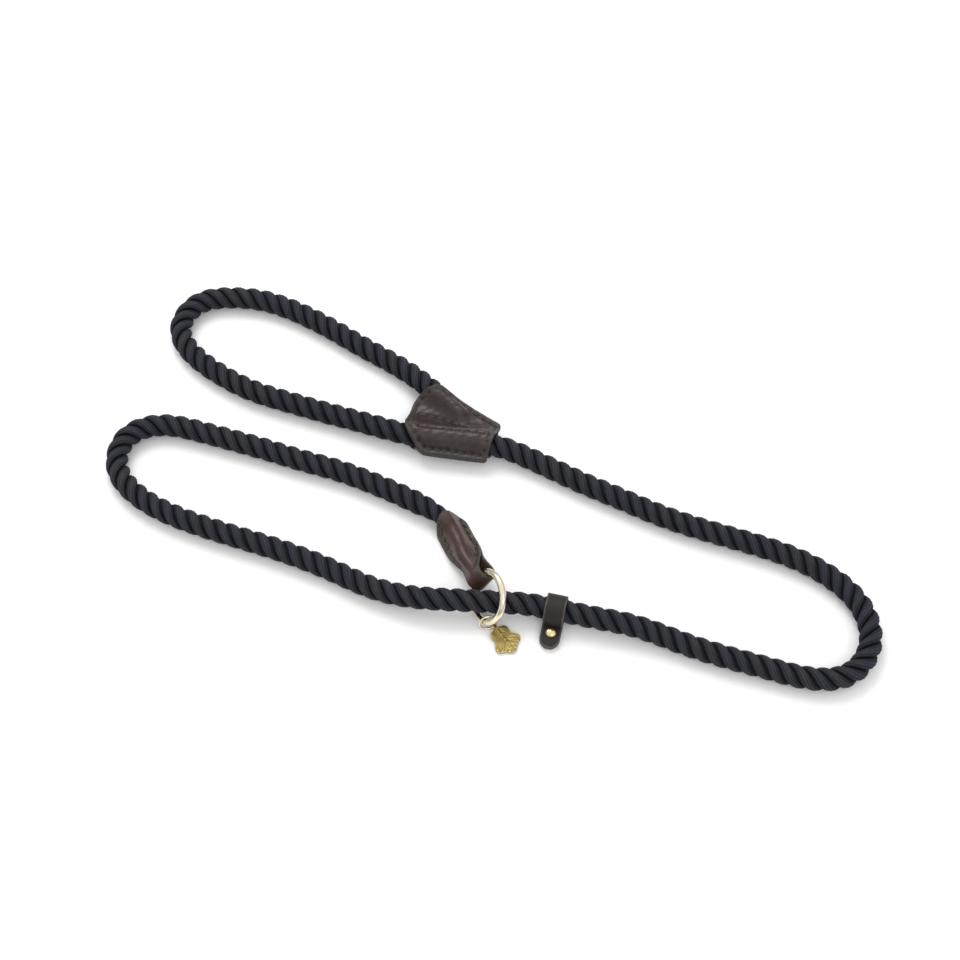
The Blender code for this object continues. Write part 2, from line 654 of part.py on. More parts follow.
def make_charm(materials):
    centre, down = jump_frame()
    bail = centre + down * JUMP_R
    side = CHARM_DIRECTION.cross(Vector((0, 0, 1))).normalized()
    up = side.cross(CHARM_DIRECTION)
    middle = bail + CHARM_DIRECTION * CHARM_CENTRE_AT
    outline = []
    for angle in np.radians(np.arange(0, 360, 6)):
        reach = leaf_reach(angle)
        outline.append(middle + CHARM_DIRECTION * reach * math.cos(angle) + side * reach * math.sin(angle))
    half = up * CHARM_THICKNESS / 2
    vertices = [p - half for p in outline] + [p + half for p in outline]
    vertices += [middle - half, middle + half * CHARM_CROWN]
    count = len(outline)
    faces = []
    for i in range(count):
        j = (i + 1) % count
        faces += [(i, j, count + j, count + i), (i, j, 2 * count), (count + i, count + j, 2 * count + 1)]
    charm = mesh_object("leaf_charm", vertices, faces, materials["charm"])
    # The bail stands across the leaf, so that the jump ring's wire runs through it.
    axis = JUMP_NORMAL.cross(down)
    loop = torus("bail_guide", bail, axis, BAIL_R, BAIL_WIRE_R, materials["charm"], 20, 8)
    boolean(charm, loop, "UNION")
    start = bail + CHARM_DIRECTION * (BAIL_R + 0.0001)
    stem = turned("stem_guide", [(0.0, 0.0), (STEM_R, 0.0), (STEM_R, STEM_LENGTH), (0.0, STEM_LENGTH)],
                  Vector((0, 0, 0)), materials["charm"], 10)
    stem.data.transform(Matrix.Translation(start) @ frame_of(CHARM_DIRECTION, up).to_4x4())
    boolean(charm, stem, "UNION")


# ---- the stop -----------------------------------------------------------------------------------
def stop_path():
    """(out, height) of the strap's middle: under the rope, round its back, over it and down in front."""
    low = STOP_UNDER_Z
    top_layer = low + STOP_LEATHER + GAP
    path = [(out, low) for out in (*reversed(STOP_TAIL_ROWS), 0.0080, 0.0050, 0.0025)]
    for i in range(15):
        angle = math.radians(-90 - 18.5 * i)
        path.append((STOP_LOOP_R * math.cos(angle), STOP_CENTRE.z + STOP_LOOP_R * math.sin(angle)))
    start = Vector(path[-1])
    leaving = Vector((math.sin(angle), -math.cos(angle)))
    end = Vector((0.0078, top_layer))
    near, far = start + leaving * 0.0022, end - Vector((0.0010, 0.0))
    for t in (0.25, 0.5, 0.75, 1.0):
        u = 1 - t
        path.append(tuple(start * u ** 3 + near * 3 * t * u * u + far * 3 * t * t * u + end * t ** 3))
    path += [(out, top_layer) for out in STOP_TAIL_ROWS]
    return path


def stop_point(out, along, height):
    outward = Vector((STOP_ALONG.y, -STOP_ALONG.x, 0.0))
    base = Vector((STOP_CENTRE.x, STOP_CENTRE.y, 0.0))
    return base + outward * out + STOP_ALONG * along + Vector((0, 0, height))


def make_stop(materials):
    path = stop_path()
    grids = []
    for distance in (STOP_LEATHER / 2, -STOP_LEATHER / 2):
        shifted = offset_path(path, distance)
        rows = []
        for (out, height), (middle_out, _) in zip(shifted, path):
            half = STOP_WIDTH / 2
            to_tip = middle_out - (STOP_TAIL_END - half)
            if to_tip > 0:
                half = math.sqrt(max(half * half - to_tip * to_tip, 0.0014 ** 2))
            rows.append([stop_point(out, along * half, height) for along in (-1, -0.5, 0, 0.5, 1)])
        grids.append(rows)
    strap = grid_solid("stop_strap", *grids, materials["black"])
    rivet = stop_point(RIVET_AT, 0, 0)
    hole = turned("rivet_hole_guide", [(0, -0.001), (RIVET_SHANK_R + GAP, -0.001),
                  (RIVET_SHANK_R + GAP, 0.006), (0, 0.006)], rivet, materials["black"])
    boolean(strap, hole, "DIFFERENCE")
    top = STOP_UNDER_Z + 1.5 * STOP_LEATHER + 2 * GAP
    foot = STOP_UNDER_Z - STOP_LEATHER / 2 - GAP
    dome = [(RIVET_CAP_R * math.cos(a), top + 0.0003 + 0.0013 * math.sin(a))
            for a in np.radians([0, 20, 40, 60, 75])]
    turned("stop_rivet_cap", [(0, foot + 0.0022), (RIVET_BORE_R, foot + 0.0022), (RIVET_BORE_R, foot + GAP),
                              (RIVET_SHANK_R, foot + GAP), (RIVET_SHANK_R, top), (RIVET_CAP_R, top),
                              *dome, (0, top + 0.0016)], rivet, materials["rivet"])
    turned("stop_rivet_back", [(0, 0.0), (0.0024, 0.0), (0.0026, 0.0001), (0.0026, foot),
                               (RIVET_PIN_R, foot), (RIVET_PIN_R, foot + 0.0018), (0, foot + 0.0018)],
           rivet, materials["rivet"])


# ---- the whole lead -----------------------------------------------------------------------------
def set_origin(names, place):
    """Moves these objects' origins to a place on their joint's axis; their shapes stay where they are."""
    for name in names:
        item = bpy.data.objects[name]
        item.data.transform(Matrix.Translation(-place))
        item.location = place


def main():
    for item in list(bpy.data.objects):
        bpy.data.objects.remove(item, do_unlink=True)
    materials = make_materials()
    lines = rope_lines()
    make_rope(lines, materials["rope"])
    make_whippings(lines, materials["whipping"])
    make_cover(lines, materials)
    make_tab(lines, materials)
    torus("o_ring", RING_CENTRE, RING_NORMAL, RING_R, RING_WIRE_R, materials["ring"], 48, 12)
    jump_centre, jump_down = jump_frame()
    torus("jump_ring", jump_centre, JUMP_NORMAL, JUMP_R, JUMP_WIRE_R, materials["ring"], 32, 8)
    make_charm(materials)
    make_stop(materials)
    set_origin(["o_ring"], ring_hold())
    set_origin(["jump_ring"], ring_front())
    set_origin(["leaf_charm"], jump_centre + jump_down * JUMP_R)
    set_origin(["stop_strap", "stop_rivet_cap", "stop_rivet_back"], STOP_CENTRE)
    set_origin(["slip_tab", "tab_left_seam_thread", "tab_right_seam_thread"], TAB_START)


main()
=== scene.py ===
"""The looks of the rope slip lead: laid rope, stitched leather, ring, charm and stop, on a pale floor.

Everything is in metres in the frame's own axes, with +Z up and the floor at z = 0.
"""

import math
from itertools import pairwise

import bpy
import numpy as np
from mathutils import Matrix, Vector


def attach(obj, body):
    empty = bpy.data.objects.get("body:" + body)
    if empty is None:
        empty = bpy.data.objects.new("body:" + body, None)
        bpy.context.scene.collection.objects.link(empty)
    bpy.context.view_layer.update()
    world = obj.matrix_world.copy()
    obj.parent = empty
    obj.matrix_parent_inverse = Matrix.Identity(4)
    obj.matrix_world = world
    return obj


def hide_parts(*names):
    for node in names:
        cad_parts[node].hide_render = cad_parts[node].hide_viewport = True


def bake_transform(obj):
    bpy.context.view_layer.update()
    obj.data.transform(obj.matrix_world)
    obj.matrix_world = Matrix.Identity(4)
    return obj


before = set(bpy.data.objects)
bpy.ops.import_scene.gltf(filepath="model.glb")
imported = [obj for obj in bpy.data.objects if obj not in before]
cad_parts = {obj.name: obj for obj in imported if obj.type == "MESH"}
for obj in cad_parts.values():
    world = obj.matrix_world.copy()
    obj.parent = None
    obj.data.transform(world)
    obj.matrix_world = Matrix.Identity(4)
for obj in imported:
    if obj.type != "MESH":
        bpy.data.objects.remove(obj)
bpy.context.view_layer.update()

# ---- sizes --------------------------------------------------------------------------------------
GAP = 0.0003
ROPE_R = 0.0060              # over the strands' crowns
ROPE_VALLEY_R = 0.0037       # at the bottom of the grooves between the strands
ROPE_LAY = 0.0234            # length of one full turn of a strand
ROPE_STEP = 0.0010           # between the rings of the rope's mesh
ROPE_SIDES = 84              # points round it, 28 to each of the three strands
YARN_DEPTH = 0.00034         # of the grooves between a strand's yarns
YARNS_SHOWN = 5.0            # yarns across a strand's outer face
LEATHER = 0.0016

# The rope's route from its handle end to its slip end, as in the CAD.
ROUTE = [
    (-0.0130, 0.0365, 0.0079), (-0.0225, 0.0466, 0.0079), (-0.0315, 0.0556, 0.0077),
    (-0.0470, 0.0682, 0.0064), (-0.0645, 0.0795, 0.0061), (-0.0815, 0.0906, 0.0061),
    (-0.0990, 0.1010, 0.0061), (-0.1178, 0.1090, 0.0061), (-0.1385, 0.1119, 0.0061),
    (-0.1568, 0.1078, 0.0061), (-0.1651, 0.0920, 0.0061), (-0.1570, 0.0752, 0.0061),
    (-0.1410, 0.0622, 0.0061), (-0.1230, 0.0522, 0.0061), (-0.1030, 0.0450, 0.0061),
    (-0.0830, 0.0386, 0.0062), (-0.0630, 0.0320, 0.0070), (-0.0480, 0.0270, 0.0078),
    (-0.0370, 0.0240, 0.0079), (-0.0270, 0.0222, 0.0079), (-0.0125, 0.0206, 0.0079),
    (0.0010, 0.0190, 0.0079), (0.0112, 0.0163, 0.0076), (0.0215, 0.0121, 0.0065),
    (0.0357, 0.0050, 0.0061), (0.0533, -0.0043, 0.0061), (0.0714, -0.0130, 0.0061),
    (0.0894, -0.0215, 0.0061), (0.1079, -0.0290, 0.0061), (0.1270, -0.0352, 0.0061),
    (0.1460, -0.0417, 0.0061), (0.1643, -0.0498, 0.0061), (0.1806, -0.0613, 0.0061),
    (0.1918, -0.0775, 0.0061), (0.1927, -0.0965, 0.0061), (0.1805, -0.1110, 0.0061),
    (0.1611, -0.1130, 0.0061), (0.1418, -0.1078, 0.0061), (0.1225, -0.1022, 0.0061),
    (0.1035, -0.0957, 0.0061), (0.0850, -0.0885, 0.0068), (0.0720, -0.0848, 0.0081),
    (0.0600, -0.0821, 0.0083), (0.0450, -0.0787, 0.0083), (0.0300, -0.0754, 0.0083),
    (0.0205, -0.0741, 0.0091), (0.0125, -0.0737, 0.0100), (0.0040, -0.0734, 0.0105),
    (-0.0070, -0.0729, 0.0106), (-0.0180, -0.0724, 0.0106), (-0.0290, -0.0714, 0.0102),
    (-0.0430, -0.0684, 0.0083), (-0.0600, -0.0625, 0.0066), (-0.0780, -0.0535, 0.0061),
    (-0.0985, -0.0448, 0.0061), (-0.1265, -0.0350, 0.0061), (-0.1460, -0.0284, 0.0061),
    (-0.1650, -0.0203, 0.0061), (-0.1815, -0.0095, 0.0061), (-0.1922, 0.0060, 0.0061),
    (-0.1885, 0.0238, 0.0061), (-0.1715, 0.0312, 0.0061), (-0.1510, 0.0275, 0.0061),
    (-0.1325, 0.0220, 0.0061), (-0.1145, 0.0164, 0.0061), (-0.0960, 0.0100, 0.0061),
    (-0.0770, 0.0042, 0.0061), (-0.0590, -0.0032, 0.0061), (-0.0430, -0.0108, 0.0063),
    (-0.0318, -0.0168, 0.0067), (-0.0228, -0.0230, 0.0069), (-0.0170, -0.0302, 0.0057),
    (-0.0134, -0.0372, 0.0055), (-0.0110, -0.0420, 0.0067),
]
CURVE_SAMPLES = 24
HANDLE_LAST = 18             # route point inside the splice cover where the handle loop's rope ends
STANDING_LAST = 44           # route point inside the stop where the standing part's rope ends
TAIL_RADII = [(0.0, 0.0024), (0.0070, 0.0024), (0.0090, 0.0029), (0.014, 0.0030), (0.024, 0.0047),
              (0.036, ROPE_R)]
TAIL_FORM_RADII = [(0.0, 0.0034), (0.014, 0.0034), (0.024, 0.0048), (0.036, ROPE_R)]
HANDLE_END_RADII = [(0.0, 0.0034), (0.009, 0.0042), (0.019, ROPE_R)]


# ---- camera, light and floor --------------------------------------------------------------------
def make_camera():
    """A long lens from the front, looking down at the lead's middle."""
    elevation, distance = math.radians(62), 1.0
    target = Vector((-0.002, 0.0015, 0.0))
    data = bpy.data.cameras.new("camera")
    data.sensor_width = 36.0
    data.lens = 71.25
    camera = bpy.data.objects.new("camera", data)
    camera.location = target + distance * Vector((0, -math.cos(elevation), math.sin(elevation)))
    camera.rotation_euler = (math.pi / 2 - elevation, 0, 0)
    bpy.context.scene.collection.objects.link(camera)
    bpy.context.scene.camera = camera


def area_light(name, place, size, power):
    """A round light that shines at the origin."""
    data = bpy.data.lights.new(name, "AREA")
    data.shape = "DISK"
    data.size = size
    data.energy = power
    light = bpy.data.objects.new(name, data)
    light.location = place
    light.rotation_euler = (-Vector(place)).to_track_quat("-Z", "Y").to_euler()
    bpy.context.scene.collection.objects.link(light)


def make_studio():
    """Pale surroundings, darker low down for the metal to mirror, two lights and a white floor."""
    bpy.context.scene.view_settings.view_transform = "Standard"
    world = bpy.data.worlds.new("studio")
    world.use_nodes = True
    tree = world.node_tree
    sky = tree.nodes["Background"]
    direction = tree.nodes.new("ShaderNodeTexCoord").outputs["Generated"]
    height = node(tree, "ShaderNodeSeparateXYZ", Vector=direction).outputs["Z"]
    shade = ramp(tree, height, (0.05, (0.34, 0.34, 0.35)), (0.55, (1.0, 1.0, 1.0)))
    tree.links.new(shade, sky.inputs["Color"])
    sky.inputs["Strength"].default_value = 1.02
    bpy.context.scene.world = world
    area_light("key_light", (-0.25, 0.75, 1.05), 0.80, 8.5)
    area_light("fill_light", (0.5, -0.9, 1.2), 1.0, 3.0)
    reach = 6.0
    corners = [(-reach, -reach, 0), (reach, -reach, 0), (reach, reach, 0), (-reach, reach, 0)]
    data = bpy.data.meshes.new("floor")
    data.from_pydata(corners, [], [(0, 1, 2, 3)])
    floor = bpy.data.objects.new("floor", data)
    bpy.context.scene.collection.objects.link(floor)
    data.materials.append(new_material("floor_paper", (0.93, 0.93, 0.93), 0.9)[0])


# ---- materials ----------------------------------------------------------------------------------
def new_material(name, colour, roughness, metallic=0.0, **sockets):
    """A material, its node tree and its Principled shader, with these values on the shader's sockets."""
    material = bpy.data.materials.new(name)
    material.use_nodes = True
    shader = material.node_tree.nodes["Principled BSDF"]
    shader.inputs["Base Color"].default_value = (*colour, 1.0)
    shader.inputs["Roughness"].default_value = roughness
    shader.inputs["Metallic"].default_value = metallic
    for socket, value in sockets.items():
        shader.inputs[socket.replace("_", " ")].default_value = value
    return material, material.node_tree, shader


def feed(tree, socket, value):
    """Gives an input socket a value, or a link where the value is another node's output socket."""
    if isinstance(value, bpy.types.NodeSocket):
        tree.links.new(value, socket)
    elif isinstance(value, tuple) and socket.type == "RGBA":
        socket.default_value = (*value, 1.0)
    else:
        socket.default_value = value


def node(tree, kind, **inputs):
    """A new node with these inputs."""
    made = tree.nodes.new(kind)
    for key, value in inputs.items():
        feed(tree, made.inputs[key.replace("_", " ")], value)
    return made


def stretched(tree, source, scale):
    """Coordinates scaled along each axis."""
    return node(tree, "ShaderNodeMapping", Vector=source, Scale=scale).outputs["Vector"]


def noise(tree, vector, scale, detail=3.0, roughness=0.55):
    made = node(tree, "ShaderNodeTexNoise", Vector=vector, Scale=scale, Detail=detail, Roughness=roughness)
    return made.outputs["Fac"]


def ramp(tree, factor, *stops):
    """A colour ramp through (place, colour) stops."""
    made = tree.nodes.new("ShaderNodeValToRGB")
    tree.links.new(factor, made.inputs["Fac"])
    elements = made.color_ramp.elements
    for i, (place, colour) in enumerate(stops):
        element = elements[i] if i < 2 else elements.new(place)
        element.position = place
        element.color = (*colour, 1.0)
    return made.outputs["Color"]


def mixed(tree, factor, a, b):
    """Two colours mixed by a factor."""
    made = tree.nodes.new("ShaderNodeMix")
    made.data_type = "RGBA"
    for socket, value in ((made.inputs[0], factor), (made.inputs[6], a), (made.inputs[7], b)):
        feed(tree, socket, value)
    return made.outputs[2]


def maths(tree, operation, a, b):
    made = tree.nodes.new("ShaderNodeMath")
    made.operation = operation
    for socket, value in zip(made.inputs, (a, b)):
        feed(tree, socket, value)
    return made.outputs[0]


def ranged(tree, value, low, high, new_low=0.0, new_high=1.0):
    made = node(tree, "ShaderNodeMapRange", Value=value, From_Min=low, From_Max=high, To_Min=new_low,
                To_Max=new_high)
    return made.outputs["Result"]


def bump(tree, shader, height, distance, strength, onto=None):
    """Bump for the shader's normal, on top of an earlier one where it is given."""
    made = node(tree, "ShaderNodeBump", Height=height, Distance=distance, Strength=strength)
    if onto is not None:
        tree.links.new(onto, made.inputs["Normal"])
    tree.links.new(made.outputs["Normal"], shader.inputs["Normal"])
    return made.outputs["Normal"]


def attribute(tree, name):
    made = tree.nodes.new("ShaderNodeAttribute")
    made.attribute_name = name
    return made.outputs["Fac"]


def place_in(tree):
    return tree.nodes.new("ShaderNodeTexCoord").outputs["Object"]


def rope_material():
    """Dark navy cotton: each strand shows fine fibres that run along it, slow changes of hue, and painted
    shade in the grooves between strands and yarns.
    """
    material, tree, shader = new_material("navy_rope", (0.02, 0.02, 0.03), 0.80, Specular_IOR_Level=0.12,
                                          Sheen_Weight=0.06, Sheen_Roughness=0.45)
    shader.inputs["Sheen Tint"].default_value = (0.55, 0.60, 0.75, 1.0)
    along_strand = tree.nodes.new("ShaderNodeUVMap").outputs["UV"]
    fibres = noise(tree, stretched(tree, along_strand, (2.6, 150.0, 1.0)), 1.0, 5.0, 0.72)
    patches = noise(tree, stretched(tree, along_strand, (0.35, 3.0, 1.0)), 1.0, 2.0, 0.5)
    hue = ramp(tree, patches, (0.35, (0.0225, 0.0225, 0.0370)), (0.65, (0.0330, 0.0315, 0.0390)))
    lighter = mixed(tree, ranged(tree, fibres, 0.42, 0.62), hue, (0.060, 0.060, 0.076))
    # Painted shade: the colour darkens to nearly black deep in the grooves between strands and between yarns.
    groove = ranged(tree, attribute(tree, "groove"), 0.08, 0.75)
    tree.links.new(mixed(tree, groove, lighter, (0.0022, 0.0024, 0.0040)), shader.inputs["Base Color"])
    fluff = noise(tree, place_in(tree), 2600.0, 3.0, 0.6)
    first = bump(tree, shader, fibres, 0.00045, 0.9)
    bump(tree, shader, fluff, 0.00008, 0.6, first)
    return material


def leather_material(name, dark, light, edge, roughness, coat, grain):
    """Waxed leather: pebbled grain, mottled colour, a paler cut edge, and painted shade in the pricked holes.
    """
    material, tree, shader = new_material(name, dark, roughness, Specular_IOR_Level=0.28, Coat_Weight=coat,
                                          Coat_Roughness=0.22)
    place = place_in(tree)
    mottle = noise(tree, place, 140.0, 4.0, 0.6)
    colour = ramp(tree, mottle, (0.30, dark), (0.70, light))
    fine = noise(tree, place, 1300.0, 3.0, 0.6)
    colour = mixed(tree, ranged(tree, fine, 0.45, 0.75, 0.0, 0.35), colour, tuple(1.7 * c for c in light))
    edged = attribute(tree, "edge")
    near_edge = maths(tree, "MULTIPLY", attribute(tree, "border"), ranged(tree, fine, 0.35, 0.62))
    colour = mixed(tree, maths(tree, "MULTIPLY", near_edge, 0.7), colour, tuple(1.5 * c for c in edge))
    colour = mixed(tree, edged, colour, edge)
    # Painted shade: the needle holes are painted nearly black.
    colour = mixed(tree, attribute(tree, "hole"), colour, (0.004, 0.003, 0.003))
    tree.links.new(colour, shader.inputs["Base Color"])
    rough = maths(tree, "ADD", ranged(tree, mottle, 0.3, 0.7, roughness - 0.06, roughness + 0.08),
                  maths(tree, "MULTIPLY", edged, 0.30))
    tree.links.new(rough, shader.inputs["Roughness"])
    drift = node(tree, "ShaderNodeTexNoise", Vector=place, Scale=grain * 0.8).outputs["Color"]
    warped = tree.nodes.new("ShaderNodeVectorMath")
    warped.operation = "MULTIPLY_ADD"
    for socket, value in zip(warped.inputs, (drift, (0.6 / grain,) * 3, place)):
        feed(tree, socket, value)
    cells = node(tree, "ShaderNodeTexVoronoi", Vector=warped.outputs[0], Scale=grain)
    cells.feature = "DISTANCE_TO_EDGE"
    pebbles = ranged(tree, cells.outputs["Distance"], 0.0, 0.25)
    creases = noise(tree, stretched(tree, place, (1.0, 0.45, 1.0)), 420.0, 4.0, 0.6)
    first = bump(tree, shader, pebbles, 0.00010, 0.55)
    bump(tree, shader, creases, 0.00016, 0.6, first)
    return material


def thread_material(name, dark, light):
    """Waxed thread: its two plies are in the mesh, and its filaments in the bump."""
    material, tree, shader = new_material(name, dark, 0.55, Sheen_Weight=0.2, Sheen_Roughness=0.4)
    filaments = noise(tree, stretched(tree, place_in(tree), (3500.0, 3500.0, 900.0)), 1.0, 3.0)
    tree.links.new(ramp(tree, filaments, (0.35, dark), (0.68, light)), shader.inputs["Base Color"])
    bump(tree, shader, filaments, 0.00006, 0.7)
    return material


def metal_material(name, bright, dull, roughness, scratch, recess=None):
    """Plated metal: fine scratches, slow changes of polish and, where asked, dark hollows."""
    material, tree, shader = new_material(name, bright, roughness, 1.0)
    place = place_in(tree)
    polish = noise(tree, place, 220.0, 3.0, 0.6)
    colour = ramp(tree, polish, (0.35, dull), (0.62, bright))
    if recess is not None:
        colour = mixed(tree, attribute(tree, "hollow"), colour, recess)
    tree.links.new(colour, shader.inputs["Base Color"])
    tree.links.new(ranged(tree, polish, 0.35, 0.7, roughness + 0.12, roughness), shader.inputs["Roughness"])
    lines = noise(tree, stretched(tree, place, (1.0, 5.0, 1.6)), 900.0, 5.0, 0.7)
    bump(tree, shader, lines, 0.00003, scratch)
    return material


# ---- shapes -------------------------------------------------------------------------------------
def mesh_piece(name, vertices, faces, material, sharp=None, **attributes):
    """A smooth mesh object, with a float attribute for each keyword."""
    mesh = bpy.data.meshes.new(name)
    mesh.from_pydata([tuple(map(float, v)) for v in vertices], [], faces)
    mesh.shade_smooth()
    if sharp is not None:
        mesh.set_sharp_from_angle(angle=math.radians(sharp))
    for key, values in attributes.items():
        mesh.attributes.new(key, "FLOAT", "POINT").data.foreach_set("value", np.asarray(values, np.float32))
    mesh.materials.append(material)
    mesh.update()
    piece = bpy.data.objects.new(name, mesh)
    bpy.context.scene.collection.objects.link(piece)
    return piece


def stands_for(piece, body, slot, *nodes):
    """Puts a piece in the place of CAD nodes, on their body. slot is not used."""
    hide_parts(*nodes)
    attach(piece, body)


def grid_faces(rows, columns, wrap_rows=False, wrap_columns=False):
    """Quads between a grid of points stored row by row."""
    faces = []
    for i in range(rows if wrap_rows else rows - 1):
        for j in range(columns if wrap_columns else columns - 1):
            a, b = i * columns, (i + 1) % rows * columns
            k = (j + 1) % columns
            faces.append((a + j, a + k, b + k, b + j))
    return faces


def flipped(faces):
    """The faces turned to look the other way."""
    return [tuple(reversed(face)) for face in faces]


def tube_faces(rings, sides):
    """Quads between rings of points stored one after the other, and a cap at each end."""
    faces = grid_faces(rings, sides, wrap_columns=True)
    return faces + [tuple(reversed(range(sides))), tuple(range((rings - 1) * sides, rings * sides))]


def two_sheets(front, shift):
    """The faces of a sheet, and those of its double, shift points later, which look the other way."""
    return front + flipped([tuple(shift + v for v in face) for face in front])


def ring_wall(count, shift):
    """Quads between a sheet's first ring of points and its double's."""
    return [(i, shift + i, shift + (i + 1) % count, (i + 1) % count) for i in range(count)]


def crowded(count, power):
    """Places from -1 to 1 that are closer together at the ends."""
    even = np.linspace(-1, 1, count)
    return np.sign(even) * (1 - (1 - np.abs(even)) ** power)


def joined(parts):
    """One list of vertices and one of faces from several (vertices, faces)."""
    vertices, faces = [], []
    for points, polygons in parts:
        start = len(vertices)
        vertices += [tuple(p) for p in points]
        faces += [tuple(start + v for v in polygon) for polygon in polygons]
    return vertices, faces


def smooth_curve(points, samples):
    """A dense natural cubic spline through the points, spaced by the distances between them."""
    places = np.array(points, float)
    gaps = np.linalg.norm(np.diff(places, axis=0), axis=1)
    count = len(places)
    matrix, right = np.eye(count), np.zeros_like(places)
    for i in range(1, count - 1):
        matrix[i, i - 1 : i + 2] = gaps[i - 1], 2 * (gaps[i - 1] + gaps[i]), gaps[i]
        slopes = np.diff(places[i - 1 : i + 2], axis=0) / gaps[i - 1 : i + 1, None]
        right[i] = 6 * (slopes[1] - slopes[0])
    bend = np.linalg.solve(matrix, right)
    found = []
    for i, gap in enumerate(gaps):
        for t in np.arange(samples) / samples:
            sag = gap * gap / 6 * ((t**3 - t) * bend[i + 1] + ((1 - t) ** 3 - (1 - t)) * bend[i])
            found.append(places[i] * (1 - t) + places[i + 1] * t + sag)
    found.append(places[-1])
    return np.array(found)


def along_of(line):
    """The distance along a line of points at each of them."""
    return np.r_[0, np.cumsum(np.linalg.norm(np.diff(line, axis=0), axis=1))]


def read_at(line, places):
    """Points at these distances along a line."""
    along = along_of(line)
    return np.stack([np.interp(places, along, line[:, i]) for i in range(line.shape[1])], axis=1)


def near(line, points):
    """Plan distance from each point to a dense line, and the index of the nearest point of the line."""
    block = 2000
    run = np.gradient(line[:, :2], axis=0)
    run /= np.linalg.norm(run, axis=1)[:, None]
    distances, indices = [], []
    for start in range(0, len(points), block):
        some = points[start : start + block, None, :2] - line[None, :, :2]
        apart = np.hypot(some[..., 0], some[..., 1])
        nearest = apart.argmin(axis=1)
        rows = np.arange(len(nearest))
        offset, tangent = some[rows, nearest], run[nearest]
        beside = np.abs(offset[:, 0] * tangent[:, 1] - offset[:, 1] * tangent[:, 0])
        inside = (nearest > 0) & (nearest < len(line) - 1)
        indices.append(nearest)
        distances.append(np.where(inside, beside, apart[rows, nearest]))
    return np.concatenate(distances), np.concatenate(indices)


# ---- the rope -----------------------------------------------------------------------------------
ROPE_LINE = smooth_curve(ROUTE, CURVE_SAMPLES)
ROPE_ALONG = along_of(ROPE_LINE)
ROPE_LENGTH = float(ROPE_ALONG[-1])


def rope_radius(place):
    """Radius of the whole rope at a distance along it: it is thinned at its two hidden ends."""
    start = np.interp(place, *zip(*HANDLE_END_RADII))
    return np.minimum(start, np.interp(ROPE_LENGTH - place, *zip(*TAIL_RADII)))


def strand_height(turn, place):
    """(height over the axis, depth in a groove from 0 to 1, which sets the painted shade there) round the
    rope, for a rope of radius 1.
    """
    across = (turn * 3) % 1 - 0.5
    rim = 0.985
    low = math.sqrt(1 - rim * rim)
    lobe = (np.sqrt(1 - (2 * rim * across) ** 2) - low) / (1 - low)
    drift = 0.9 * place / ROPE_LAY
    strand = np.floor(turn * 3)
    yarn = np.abs(np.cos(np.pi * (YARNS_SHOWN * across + drift + 0.37 * strand))) ** 0.6
    swell = 1 + 0.012 * np.sin(2 * np.pi * (place / 0.047 + 0.31 * strand))
    height = (ROPE_VALLEY_R + (ROPE_R - ROPE_VALLEY_R) * lobe) / ROPE_R * swell
    yarn_groove = (1 - yarn) * (0.35 + 0.65 * lobe)
    # depth is how much painted shade a point gets: most in the grooves between strands, some between yarns.
    depth = np.clip(1.05 * (1 - lobe) ** 0.8 + 0.60 * (1 - yarn) * lobe, 0, 1)
    return height - yarn_groove * YARN_DEPTH / ROPE_R, depth


def laid_rope(name, first, last, material):
    """The rope from one route point to another, as a mesh whose columns of points follow the strands."""
    low, high = ROPE_ALONG[first * CURVE_SAMPLES], ROPE_ALONG[last * CURVE_SAMPLES]
    places = np.linspace(low, high, round((high - low) / ROPE_STEP) + 1)
    centres = read_at(ROPE_LINE, places)
    tangents = read_at(ROPE_LINE, np.minimum(places + 0.0004, ROPE_LENGTH))
    tangents -= read_at(ROPE_LINE, np.maximum(places - 0.0004, 0))
    tangents /= np.linalg.norm(tangents, axis=1)[:, None]
    sides = np.cross((0, 0, 1), tangents)
    sides /= np.linalg.norm(sides, axis=1)[:, None]
    ups = np.cross(tangents, sides)
    turns = np.arange(ROPE_SIDES) / ROPE_SIDES
    vertices, grooves = [], []
    for centre, side, up, place in zip(centres, sides, ups, places):
        height, depth = strand_height(turns, place)
        angle = 2 * np.pi * (turns + place / ROPE_LAY)
        height = height * rope_radius(place)
        ring = centre + height[:, None] * (np.cos(angle)[:, None] * side + np.sin(angle)[:, None] * up)
        ring[:, 2] = np.maximum(ring[:, 2], 0.00015)
        vertices.append(ring)
        grooves.append(depth)
    faces = tube_faces(len(places), ROPE_SIDES)
    # The depths collected per ring are the rope's painted groove shade.
    piece = mesh_piece(name, np.vstack(vertices), faces, material, groove=np.concatenate(grooves))
    sheet = piece.data.uv_layers.new(name="UVMap")
    corners = np.empty(len(piece.data.loops), int)
    piece.data.loops.foreach_get("vertex_index", corners)
    ring, column = corners // ROPE_SIDES, corners % ROPE_SIDES
    across = column / ROPE_SIDES
    quads = np.arange(len(corners)) // 4
    wrapping = (quads % ROPE_SIDES == ROPE_SIDES - 1) & (quads < len(faces) - 2) & (column == 0)
    across = np.where(wrapping, 1.0, across)
    sheet.data.foreach_set("uv", np.stack([places[ring] / 0.01, across], axis=1).astype(np.float32).ravel())
    return piece, [tuple(p) for p in read_at(ROPE_LINE, np.linspace(low, high, 3 * (last - first)))]


def make_ropes():
    material = rope_material()
    handle, handle_path = laid_rope("laid_rope_handle_loop", 0, HANDLE_LAST, material)
    standing, standing_path = laid_rope("laid_rope_standing_part", HANDLE_LAST, STANDING_LAST, material)
    loop, loop_path = laid_rope("laid_rope_slip_loop", STANDING_LAST, len(ROUTE) - 1, material)
    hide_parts("rope_handle_loop")
    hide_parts("rope_standing_part")
    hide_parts("rope_slip_bend", "rope_slip_leg")
    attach(handle, "lead_body")
    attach(standing, "lead_body")
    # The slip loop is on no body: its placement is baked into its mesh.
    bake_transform(loop)


